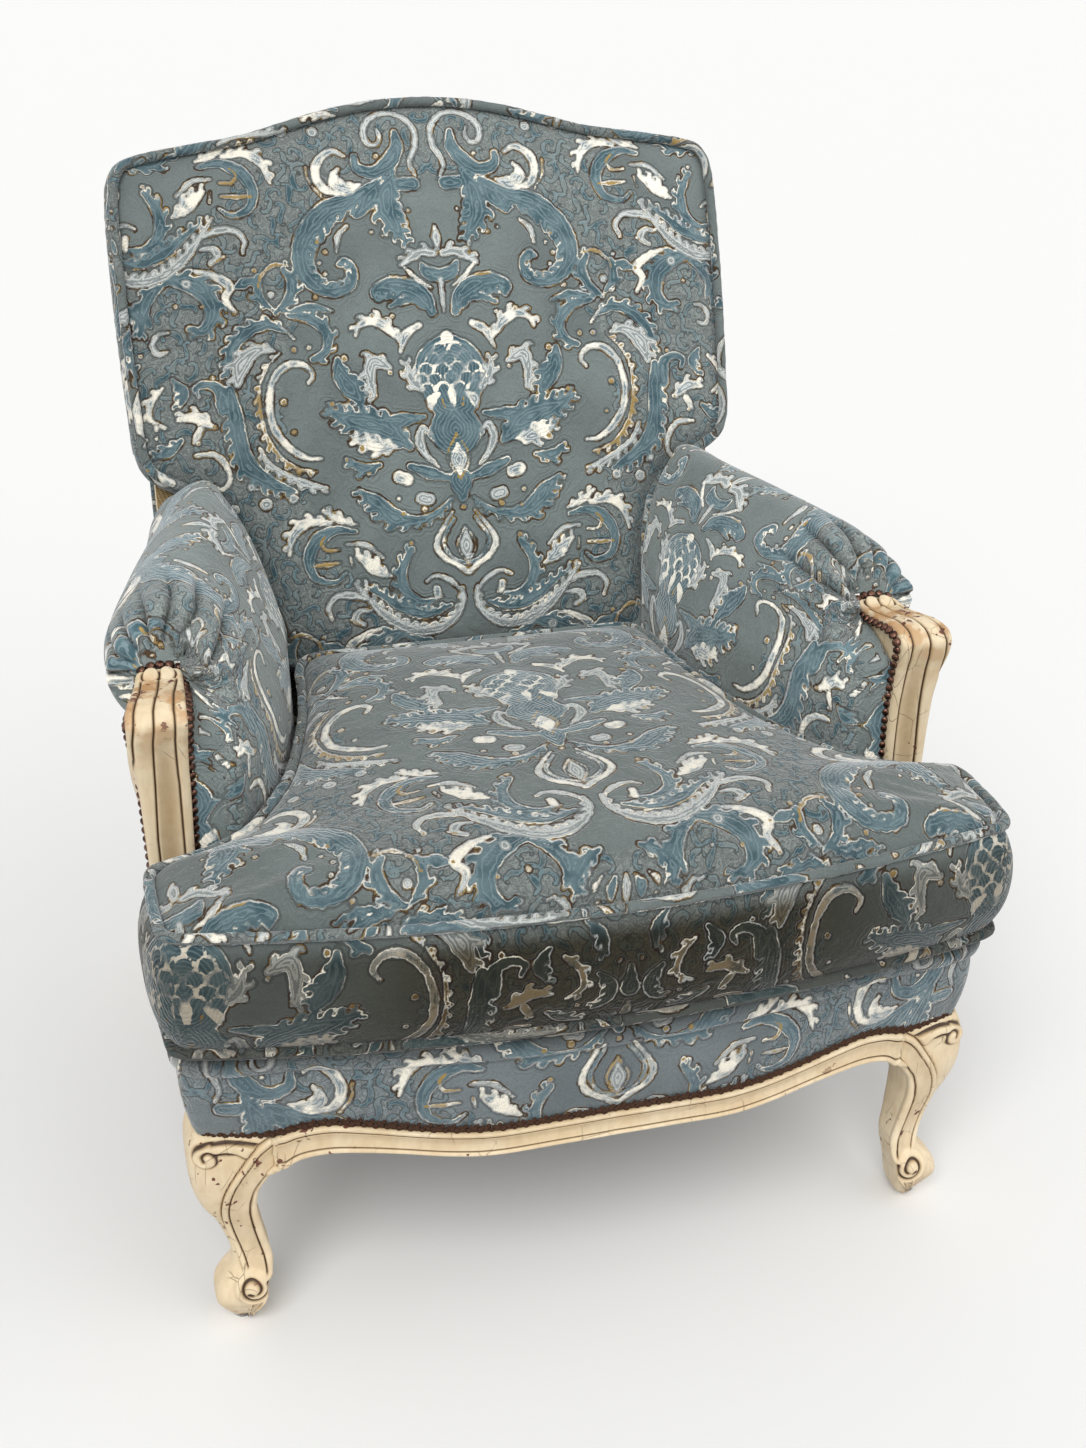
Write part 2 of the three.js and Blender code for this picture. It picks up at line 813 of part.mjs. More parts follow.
function crestRail() {
  const board = onBack(outset(backOutline, -frameInset), -frameBack, -frameFront);
  return board.intersect(aboveLine(crestRailBottom));
}

function lowerBackRail() {
  const half = rearLegInner - play;
  const top = lowerRailBottom + lowerRailHeight;
  const outline = [
    flatPoint(-half, lowerRailBottom),
    flatPoint(half, lowerRailBottom),
    flatPoint(half, top),
    flatPoint(-half, top),
  ];
  return onBack(outline, -frameBack, -frameFront);
}

function backWebbing() {
  const low = -frameFront + play;
  const high = low + strapThick;
  const half = strapWidth / 2;
  const side = rearLegOuter - play;
  const top = crestRailBottom + strapWidth;
  let net = null;
  const join = (strap) => {
    net = net ? net.add(strap) : strap;
  };
  for (const spot of strapSpots) {
    const x = (2 * spot * side) / strapSpots.length - (spot * strapWidth) / strapSpots.length;
    const middleUp = (top + lowerRailBottom) / 2;
    const y = middleUp + (spot * (top - lowerRailBottom - strapWidth)) / (strapSpots.length - 1);
    const up = [flatPoint(x - half, lowerRailBottom), flatPoint(x + half, lowerRailBottom)];
    join(onBack([...up, flatPoint(x + half, top), flatPoint(x - half, top)], low, high));
    const across = [flatPoint(-side, y - half), flatPoint(side, y - half)];
    join(onBack([...across, flatPoint(side, y + half), flatPoint(-side, y + half)], low, high));
  }
  return net;
}

function backEdgeBand() {
  const outer = onBack(outset(backOutline, -bandThick / 2), -frameBack, -backPadThick - softClearance);
  const inner = onBack(outset(backOutline, -frameInset + play), -frameBack - overrun, overrun);
  return outer.subtract(inner).intersect(aboveLine(bandStart));
}

// Outside back: it follows the recline above the lower rail and drops straight down below it.
const outerLowHalf = rearLegOuter + outerPanelThick + 2 * play;

function outerBackPanel() {
  const face = -frameBack - play;
  const rear = face - outerPanelThick;
  const upper = onBack(outset(backOutline, -bandThick / 2), rear, face);
  const half = [
    flatPoint(0, 0),
    flatPoint(outerLowHalf, 0),
    flatPoint(outerLowHalf, bandStart),
    flatPoint(0, bandStart),
  ];
  const lower = onBack(bothSides(half), rear, face);
  const bend = backPoint(0, face);
  const low = legTop + 2 * play;
  const skirt = box(-outerLowHalf, outerLowHalf, bend.x, bend.x + outerPanelThick, low, bend.y);
  return upper.intersect(aboveLine(0)).add(lower).add(skirt);
}

// Loose cushion

// Half outline from the front middle to the rear middle: shares of the half width and the length.
const cushionOutlineShares = [
  [0, 0],
  [0.25, 0.0055],
  [0.5, 0.0216],
  [0.75, 0.0485],
  [0.92, 0.073],
  [0.965, 0.083],
  [0.988, 0.1],
  [0.997, 0.14],
  [1, 0.19],
  [0.998, 0.262],
  [0.985, 0.289],
  [0.955, 0.299],
  [0.9, 0.312],
  [0.827, 0.336],
  [0.7506, 0.3776],
  [0.682, 0.45],
  [0.626, 0.529],
  [0.575, 0.6466],
  [0.537, 0.762],
  [0.5165, 0.871],
  [0.508, 0.94],
  [0.49, 0.98],
  [0.45, 0.997],
  [0.25, 1],
  [0, 1],
];
const cushionHalfWidth = seatHalfWidth + cushionOverhang;
const cushionFront = frontReach + cushionForward;
const cushionPointCount = 72;
const cushionPlace = ([x, y]) => flatPoint(x * cushionHalfWidth, -cushionFront + y * cushionLength);
const cushionOutline = smoothLoop(bothSides(cushionOutlineShares.map(cushionPlace)), cushionPointCount);
const cushionMiddle = flatPoint(0, bowY(0, seatHalfWidth / 2));
const coverInset = 2 * weltRadius + play; // the boxing lies this far behind the piping's outside
const cushionBase = seatTop + play;

// Levels of the boxing: shares of the height between the pipings, and of the bulge.
const boxingShares = [
  [0, 0],
  [0.17, 0.62],
  [0.5, 1],
  [0.83, 0.62],
  [1, 0],
];

const heldShare = 0.4; // how much of the bulge is left between the arms and at the back

// The boxing's outline where it bulges; the arms hold it in behind their noses.
function swollen(bulge) {
  const free = outset(cushionOutline, bulge - coverInset);
  const held = outset(cushionOutline, heldShare * bulge - coverInset);
  return cushionOutline.map((point, i) => (point.y < -armFront ? free[i] : held[i]));
}

function cushionCover() {
  const wall = outset(cushionOutline, -coverInset);
  const low = cushionBottomSeam + weltRadius + play;
  const high = cushionTopSeam - weltRadius - play;
  const rings = [
    level(shrunk(wall, crownShares[1][0], cushionMiddle), cushionBase),
    level(wall, cushionBottomSeam),
  ];
  for (const [rise, reached] of boxingShares) {
    rings.push(level(swollen(reached * cushionBulge), THREE.MathUtils.lerp(low, high, rise)));
  }
  rings.push(level(wall, cushionTopSeam));
  for (const [share, reached] of crownShares.slice(1)) {
    const height = cushionTopSeam + reached * cushionCrown;
    rings.push(level(shrunk(wall, share, cushionMiddle), height));
  }
  const filled = solid(loft(rings));
  return filled.subtract(cushionInside(0)).subtract(zipSlot(0));
}

function cushionInside(less) {
  const inner = outset(cushionOutline, -coverInset - cushionWall - less);
  return prism(inner, cushionBottomSeam + less, cushionTopSeam - cushionWall - less);
}

// The zip lies in a slot through the rear of the boxing.
function zipSlot(less) {
  const wall = -cushionFront + cushionLength - coverInset;
  const rear = wall + heldShare * cushionBulge;
  const inner = wall - (less > 0 ? cushionWall / 2 : cushionWall + play);
  const middle = (cushionTopSeam + cushionBottomSeam) / 2;
  const half = zipHeight / 2 - less;
  const outer = less > 0 ? rear - less : rear + overrun;
  const length = zipHalfLength - less;
  return box(-length, length, inner, outer, middle - half, middle + half);
}

function cushionWelt(height) {
  return solid(weltLoop(outset(cushionOutline, -weltRadius), height));
}

// Arms

const armOuter = seatHalfWidth + armOverhang;
const postInner = platformHalfWidth + postGap;
const armRailInner = platformHalfWidth + armRailGap;

// Side profile of an arm post: shares of its reach back from the knuckle, and its height from the
// moulding of the side rail up to its top.
const postFrontShares = [
  [-0.02, 0],
  [0.09, 0.28],
  [0.15, 0.54],
  [0.15, 0.72],
  [0.09, 0.86],
  [0.01, 0.93],
  [0, 0.965],
  [0.1, 0.99],
  [0.45, 1],
  [0.9, 0.995],
];
const postBackShares = [
  [1, 0.97],
  [0.97, 0.93],
  [0.7, 0.91],
  [0.55, 0.88],
  [0.5, 0.8],
  [0.5, 0.5],
  [0.45, 0.25],
  [0.4, 0],
];
const postBottom = legTop + 2 * play;
const postPlace = ([back, rise]) =>
  flatPoint(-postFront + back * postReach, postBottom + rise * (postTop - postBottom));
const postOuter = postInner + postWidth;

// The post laps over the outside of the side rail below the rail's top.
function armPost(extra) {
  const front = smoothLine(postFrontShares.map(postPlace), 18);
  const back = smoothLine(postBackShares.map(postPlace), 12);
  const outline = front.concat(back);
  const grown = extra ? outset(outline, -extra) : outline;
  const body = sideways(grown, postInner - extra, postOuter + extra);
  const wide = postFront + overrun;
  const lap = box(0, sideRailOuter + play, -wide, wide, 0, railTop + play);
  return extra ? body : body.subtract(tapered(lap));
}

// Everything behind the front of the back frame, grown by a clearance.
function behindFrame(clearance) {
  const wide = armOuter + overrun;
  const square = [
    flatPoint(-wide, -wide), flatPoint(wide, -wide),
    flatPoint(wide, wide), flatPoint(-wide, wide),
  ];
  return onBack(square, -wide, clearance - frameFront);
}

function armRail() {
  const front = postPlace(postBackShares[5]).x + play;
  const low = armRailTop - armRailHeight;
  const bar = box(armRailInner, armRailInner + armRailThick, front, rollRear, low, armRailTop);
  return tapered(bar).subtract(behindFrame(play));
}

function outerArmPanel() {
  const front = postPlace(postBackShares[5]).x + softClearance;
  const rear = backPoint(0, -frameBack - play).x - play;
  const inner = rearLegOuter + play + drawnIn(rear);
  return tapered(box(inner, inner + outerPanelThick, front, rear, legTop + 2 * play, armRailTop));
}

// Plan of the arm's stuffing: the inner side follows the cushion's notch at a clearance.
const notchFrom = 12; // first and last points of the notch in the cushion's outline table
const notchTo = 21;
const noseShares = [
  [0.2, 0.98],
  [0.55, 1],
]; // nose between the notch and the post: shares across and of the arm's front

// Levels of the roll: share of its height, outer face as a share of the roll's outermost point,
// how far the inner side has closed towards the outer face, and how far the nose has gone back.
const rollLevelShares = [
  [0, 0.9, 0.065, 0.01],
  [0.12, 0.945, 0.08, 0.012],
  [0.26, 0.98, 0.115, 0.02],
  [0.44, 1, 0.16, 0.05],
  [0.6, 0.985, 0.235, 0.1],
  [0.74, 0.955, 0.34, 0.17],
  [0.86, 0.915, 0.49, 0.27],
  [0.95, 0.875, 0.65, 0.38],
  [1, 0.84, 0.82, 0.47],
];
const armSink = 230; // how far the nose would go back at the very top
const rollRear = 260; // the roll is cut off by the back frame before this
const noseStep = 40; // how far the roll's front lies behind the nose over the post

// Outer face of the roll: shares of its length, and how much of its taper is reached there.
const rollTaperShares = [
  [0, 0],
  [0.34, 0],
  [0.47, 0.19],
  [0.63, 0.47],
  [0.8, 0.8],
  [1, 1],
];

function rollOuter(y, share) {
  const place = (y + armFront) / (rollRear + armFront);
  return share * armOuter - rollTaper * along(rollTaperShares, place);
}

function blockOuter(y) {
  return platformHalfWidth - drawnIn(y);
}

// Plan of the arm at one level, out to a line along its outer side.
function armPlan(outerAt, closed, sink) {
  const front = -armFront;
  const notch = cushionOutlineShares.slice(notchFrom, notchTo).map(cushionPlace).reverse();
  const set = flatPoint(cushionClearance, cushionClearance);
  const inner = notch.map((place) => place.add(set)).filter((place) => place.y > front);
  const last = inner.at(-1);
  const nose = noseShares.map(([across, forward]) =>
    flatPoint(
      THREE.MathUtils.lerp(last.x, blockOuter(front), across),
      THREE.MathUtils.lerp(last.y, front, forward),
    ),
  );
  const outer = rollTaperShares.map(([place]) => {
    const y = THREE.MathUtils.lerp(front, rollRear, place);
    return flatPoint(outerAt(y), y);
  });
  const inward = [flatPoint(inner[0].x, rollRear), ...inner, ...nose, flatPoint(blockOuter(front), front)];
  return inward.concat(outer).map((point) => {
    const forward = THREE.MathUtils.clamp(-point.y / armFront, 0, 1);
    const x = THREE.MathUtils.lerp(point.x, outerAt(point.y), closed);
    return flatPoint(x, point.y + sink * forward ** 2);
  });
}

const armPlanCount = 40;

// Even points along a plan, so that every level has the same number.
function evenly(points, count) {
  const path = new THREE.CurvePath();
  points.forEach((point, i) => path.add(new THREE.LineCurve(point, points[(i + 1) % points.length])));
  return path.getSpacedPoints(count).slice(0, count);
}

function armPad() {
  const base = armRailTop + play;
  const upperClosed = rollLevelShares[0][2];
  const lower = loft([
    level(evenly(armPlan(blockOuter, 0, 0), armPlanCount), seatTop + play),
    level(evenly(armPlan(blockOuter, upperClosed, 0), armPlanCount), base + coverThick),
  ]);
  const rings = rollLevelShares.map(([rise, outer, closed, sink]) => {
    const plan = armPlan((y) => rollOuter(y, outer), closed, sink * armSink);
    return level(evenly(plan, armPlanCount), base + rise * (armTop - base));
  });
  const roll = solid(loft(rings));
  const wide = armOuter + overrun;
  const high = armTop + overrun;
  const behindPost = box(blockOuter(-armFront), wide, -wide, noseStep - armFront, 0, high);
  const seatBack = box(0, wide, rearLegFront - play, wide, 0, base);
  return solid(lower)
    .add(roll)
    .subtract(behindPost)
    .subtract(seatBack)
    .subtract(armPost(softClearance))
    .subtract(backPadShape(softClearance))
    .subtract(onBack(outset(backOutline, softClearance), -frameBack, softClearance))
    .subtract(behindFrame(softClearance + strapThick + play));
}

// Strip that carries the nails up the inner side of a post.
function armNailTrim() {
  const front = smoothLine(postFrontShares.slice(1, 6).map(postPlace), 14);
  const back = front.map((point) => flatPoint(point.x + trimWidth, point.y)).reverse();
  const set = flatPoint(trimThick, 0);
  const outline = front.concat(back).map((point) => point.clone().add(set));
  return sideways(outline, postInner - play - trimThick, postInner - play);
}

// Assembly

put("front_rail", frontRail(), paint);
putPair("front_leg", frontLeg(), paint);
putPair("side_rail", sideRail(), paint);
put("rear_rail", rearRail(), bareWood);
putPair("rear_leg", rearLeg(), paint);
putPair("front_corner_block", frontCornerBlock(), bareWood);
putPair("rear_corner_block", rearCornerBlock(), bareWood);
const frontFoot = flatPoint(kneeOuter - footScrollIn, -legFront + legDepth / 3);
putPair("front_glide", footGlide(frontFoot.x, frontFoot.y), steel);
const rearFoot = flatPoint((rearLegInner + rearLegOuter) / 2, (rearFootFront + rearFootBack) / 2);
putPair("rear_glide", footGlide(rearFoot.x, rearFoot.y), steel);
put("seat_webbing", seatWebbing(), jute);
springSpots.forEach((row, j) => {
  springSpots.forEach((column, i) => {
    const number = j * springRows + i + 1;
    const spring = seatSpring(column * springPitchX, springMiddleY + row * springPitchY);
    put("seat_spring_" + number, spring, steel);
  });
});
put("hessian", hessian(), jute);
put("seat_pad", seatPad(), hair);
put("border_cover", borderCover(), velvet);
put("front_nail_trim", frontNailTrim(), copperNail);
put("dust_cover", dustCover(), blackCloth);

put("crest_rail", crestRail(), bareWood);
put("lower_back_rail", lowerBackRail(), bareWood);
put("back_webbing", backWebbing(), jute);
put("back_pad", backPadShape(0), velvet);
put("back_welt", backWelt(), pipingCloth);
put("back_edge_band", backEdgeBand(), velvetDark);
put("outer_back_panel", outerBackPanel(), velvetDark);

putPair("arm_post", armPost(0), paint);
putPair("arm_rail", armRail(), bareWood);
putPair("arm_pad", armPad(), velvet);
putPair("outer_arm_panel", outerArmPanel(), velvetDark);
putPair("arm_nail_trim", armNailTrim(), copperNail);

put("cushion_cover", cushionCover(), velvet);
put("cushion_core", cushionInside(play), foam);
put("cushion_zip", zipSlot(play), blackCloth);
put("cushion_welt_top", cushionWelt(cushionTopSeam), pipingCloth);
put("cushion_welt_bottom", cushionWelt(cushionBottomSeam), pipingCloth);

// The origin lies on the floor under the middle of the chair.
const extent = new THREE.Box3().setFromObject(chair);
const middle = extent.getCenter(at(0, 0, 0));
chair.position.set(-middle.x, -middle.y, -extent.min.z);

export default chair;
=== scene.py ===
"""Looks of a bergere armchair: cut-velvet upholstery over pads, painted show-wood, piping and nails.

Shapes are drawn in millimetres in the same frame as the solids, +Z up and the front facing -Y.
"""

import math

import bmesh
import bpy
import numpy as np
from mathutils import Matrix, Vector


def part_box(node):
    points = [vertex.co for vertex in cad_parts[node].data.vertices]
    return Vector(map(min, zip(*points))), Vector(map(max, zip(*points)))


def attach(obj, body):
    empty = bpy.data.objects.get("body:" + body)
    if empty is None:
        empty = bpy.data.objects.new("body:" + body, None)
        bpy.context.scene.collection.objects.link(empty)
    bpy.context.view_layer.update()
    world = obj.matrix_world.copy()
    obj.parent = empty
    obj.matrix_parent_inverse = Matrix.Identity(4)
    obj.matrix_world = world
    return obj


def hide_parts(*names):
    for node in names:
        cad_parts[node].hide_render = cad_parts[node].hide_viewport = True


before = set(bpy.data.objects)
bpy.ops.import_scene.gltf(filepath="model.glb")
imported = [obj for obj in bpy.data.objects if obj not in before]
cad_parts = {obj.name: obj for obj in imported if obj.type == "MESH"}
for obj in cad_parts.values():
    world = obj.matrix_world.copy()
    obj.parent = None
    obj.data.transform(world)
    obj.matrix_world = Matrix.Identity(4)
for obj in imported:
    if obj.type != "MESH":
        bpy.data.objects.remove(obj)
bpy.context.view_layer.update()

MM = 0.001
FRONT_GLIDE_Y = -362  # depth of a front glide's middle in the drawing
glide_low, glide_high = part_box("front_glide_right")
SHIFT = (glide_low.y + glide_high.y) / 2 / MM - FRONT_GLIDE_Y

# Driving sizes of the seat, in millimetres
FRONT_REACH = 430
BOW_DEPTH = 63
SEAT_HALF = 372
SEAT_TOP = 318
CORNER_ROUND = 16
APRON_LOWEST = 183
APRON_HEIGHT = 38
COVER_SIDE_END = -234.5
PLATFORM_HALF = 335
PLATFORM_REAR = 188
SIDE_TAPER = 43 / 495.4  # how much the sides draw in for each step back
SIDES = (("right", 1), ("left", -1))
LEG_TOP = 226
LEG_BACK = -306
LEG_FOOT = 3.3  # underside of a leg, on its glide
RAIL_TOP = 299.7  # top of the seat's rails and of the legs' blocks

# Driving sizes of the back
BACK_TILT = math.radians(21.3)
BACK_FOOT = np.array([0, 169, 448.0])
BACK_HALF = 342
BACK_RISE = 582
BACK_PAD_THICK = 43
BACK_CROWN = 19
BACK_FRAME_BACK = 74
WELT = 5

# Driving sizes of the cushion
CUSHION_HALF = 393
CUSHION_FRONT = 445
CUSHION_LENGTH = 580
CUSHION_TOP_SEAM = 443
CUSHION_BOTTOM_SEAM = 327
CUSHION_CROWN = 46
CUSHION_BULGE = 24

# Driving sizes of the arms
ARM_FRONT = 228
POST_FRONT = 233
POST_REACH = 88
POST_BOTTOM = 226.6
POST_TOP = 574

BACK_UP = np.array([0, math.sin(BACK_TILT), math.cos(BACK_TILT)])
BACK_OUT = np.array([0, -math.cos(BACK_TILT), math.sin(BACK_TILT)])


# Curves and meshes

def to_row(points):
    """Drawing millimetres to metres in the row frame."""
    return (np.asarray(points, float) + (0, SHIFT, 0)) * MM


def run_along(line):
    """Length from a line's first point to each of its points."""
    return np.concatenate([[0], np.cumsum(np.linalg.norm(np.diff(line, axis=0), axis=1))])


def columns_at(places, run, rows):
    """Each column of a table, read at places along its run."""
    return np.column_stack([np.interp(places, run, column) for column in rows.T])


def evenly(points, count, closed=False):
    """Even points along a line of points; a closed one leaves out the repeated end."""
    line = np.asarray(points, float)
    if closed:
        line = np.vstack([line, line[:1]])
    run = run_along(line)
    return columns_at(np.linspace(0, run[-1], count + closed)[:count], run, line)


def smooth(points, count, closed=False):
    """Even points along a centripetal curve through the given ones."""
    p = np.asarray(points, float)
    if closed:
        p = np.vstack([p[-1:], p, p[:2]])
    else:
        p = np.vstack([2 * p[0] - p[1], p, 2 * p[-1] - p[-2]])
    gaps = np.sqrt(np.linalg.norm(np.diff(p, axis=0), axis=1)) + 1e-9
    t = np.linspace(0, 1, 24, endpoint=False)[:, None]
    fine = []
    for i in range(len(p) - 3):
        a, b, c, d = p[i:i + 4]
        g1, g2, g3 = gaps[i:i + 3]
        m1 = ((b - a) / g1 - (c - a) / (g1 + g2) + (c - b) / g2) * g2
        m2 = ((c - b) / g2 - (d - b) / (g2 + g3) + (d - c) / g3) * g2
        fine.append((2 * t**3 - 3 * t**2 + 1) * b + (t**3 - 2 * t**2 + t) * m1
                    + (3 * t**2 - 2 * t**3) * c + (t**3 - t**2) * m2)
    if not closed:
        fine.append(p[-2:-1])
    return evenly(np.vstack(fine), count, closed)


def directions(line, closed=True):
    """Unit directions of a line at its points."""
    along = np.roll(line, -1, axis=0) - np.roll(line, 1, axis=0) if closed else np.gradient(line, axis=0)
    return along / (np.linalg.norm(along, axis=1)[:, None] + 1e-12)


def normals_2d(line, closed=True):
    """Unit normals to the right of a line's direction: outwards on a counter-clockwise outline."""
    along = directions(line, closed)
    return np.stack([along[:, 1], -along[:, 0]], axis=1)


def outset(outline, distance):
    return outline + normals_2d(outline) * distance


def both_sides(half):
    """A closed outline from its right half, which starts and ends on the centre line."""
    half = [tuple(point) for point in half]
    return half + [(-x, y) for x, y in reversed(half) if x > 0]


def table(rows, places, column=1):
    rows = np.asarray(rows, float)
    return np.interp(places, rows[:, 0], rows[:, column])


def eased(low, high, values):
    t = np.clip((np.asarray(values, float) - low) / (high - low), 0, 1)
    return t * t * (3 - 2 * t)


def nearest(points, line):
    """Distance and index of the nearest point of a line, for many points."""
    distances = np.empty(len(points))
    indices = np.empty(len(points), int)
    for start in range(0, len(points), 20000):
        part = points[start:start + 20000]
        gap = ((part[:, None, :] - line[None, :, :]) ** 2).sum(axis=2)
        indices[start:start + 20000] = gap.argmin(axis=1)
        distances[start:start + 20000] = np.sqrt(gap.min(axis=1))
    return distances, indices


def along_outline(points, outline):
    """Run along a closed outline, from its first point and signed by side, of the spot nearest each point."""
    _, index = nearest(points, outline)
    step = np.linalg.norm(outline[1] - outline[0])
    run = index * step + ((points - outline[index]) * directions(outline)[index]).sum(axis=1)
    total = len(outline) * step
    return np.where(run > total / 2, run - total, run)


def grid_faces(rows, columns, wrap_rows=False, wrap_columns=False):
    i = np.arange(rows if wrap_rows else rows - 1)
    j = np.arange(columns if wrap_columns else columns - 1)
    i, j = [a.ravel() for a in np.meshgrid(i, j, indexing="ij")]
    ni, nj = (i + 1) % rows, (j + 1) % columns
    return np.stack([i * columns + j, i * columns + nj, ni * columns + nj, ni * columns + j], axis=1).tolist()


def linked(name, data):
    """A new object in the scene."""
    made = bpy.data.objects.new(name, data)
    bpy.context.scene.collection.objects.link(made)
    return made


def bare_mesh(name, points, faces):
    mesh = bpy.data.meshes.new(name)
    mesh.from_pydata(to_row(points).tolist(), [], faces)
    return mesh


def make(name, points, faces, material, slot, body="frame"):
    """A new piece from points in drawing millimetres."""
    mesh = bare_mesh(name, points, faces)
    skin = bmesh.new()
    skin.from_mesh(mesh)
    bmesh.ops.recalc_face_normals(skin, faces=skin.faces)
    skin.to_mesh(mesh)
    skin.free()
    return adopt(name, mesh, material, slot, body)


def adopt(name, mesh, material, slot, body="frame"):
    """A mesh as a smooth piece that rides a body."""
    mesh.materials.clear()
    mesh.materials.append(material)
    mesh.polygons.foreach_set("use_smooth", np.ones(len(mesh.polygons), bool))
    mesh.update()
    piece = linked(name, mesh)
    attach(piece, body)
    return piece


def rings_mesh(rings):
    """Points and faces of stacked rings, each closed, with a fan over both ends."""
    count, size = rings.shape[:2]
    low, last = count * size, (count - 1) * size
    faces = grid_faces(count, size, wrap_columns=True)
    faces += [[low, (j + 1) % size, j] for j in range(size)]
    faces += [[low + 1, last + j, last + (j + 1) % size] for j in range(size)]
    return np.vstack([rings.reshape(-1, 3), rings[0].mean(0), rings[-1].mean(0)]), faces


def coordinates(mesh):
    """Points of a mesh in drawing millimetres."""
    flat = np.empty(len(mesh.vertices) * 3)
    mesh.vertices.foreach_get("co", flat)
    return flat.reshape(-1, 3) / MM - (0, SHIFT, 0)


def set_coordinates(mesh, points):
    mesh.vertices.foreach_set("co", to_row(points).ravel())
    mesh.update()


def vertex_normals(mesh):
    flat = np.empty(len(mesh.vertices) * 3)
    mesh.vertex_normals.foreach_get("vector", flat)
    return flat.reshape(-1, 3)


def paint_points(mesh, name, values):
    layer = mesh.attributes.get(name) or mesh.attributes.new(name, "FLOAT", "POINT")
    layer.data.foreach_set("value", np.asarray(values, np.float32))


# The damask: strokes drawn on one quarter repeat, in millimetres

REPEAT_X = 370  # from one mirror line to the next
REPEAT_Y = 400  # half a repeat, where the figure steps across
FIELD_REACH = 9  # distances are kept up to this far outside a stroke
FIGURES = ("blue", "grey", "white", "gold")

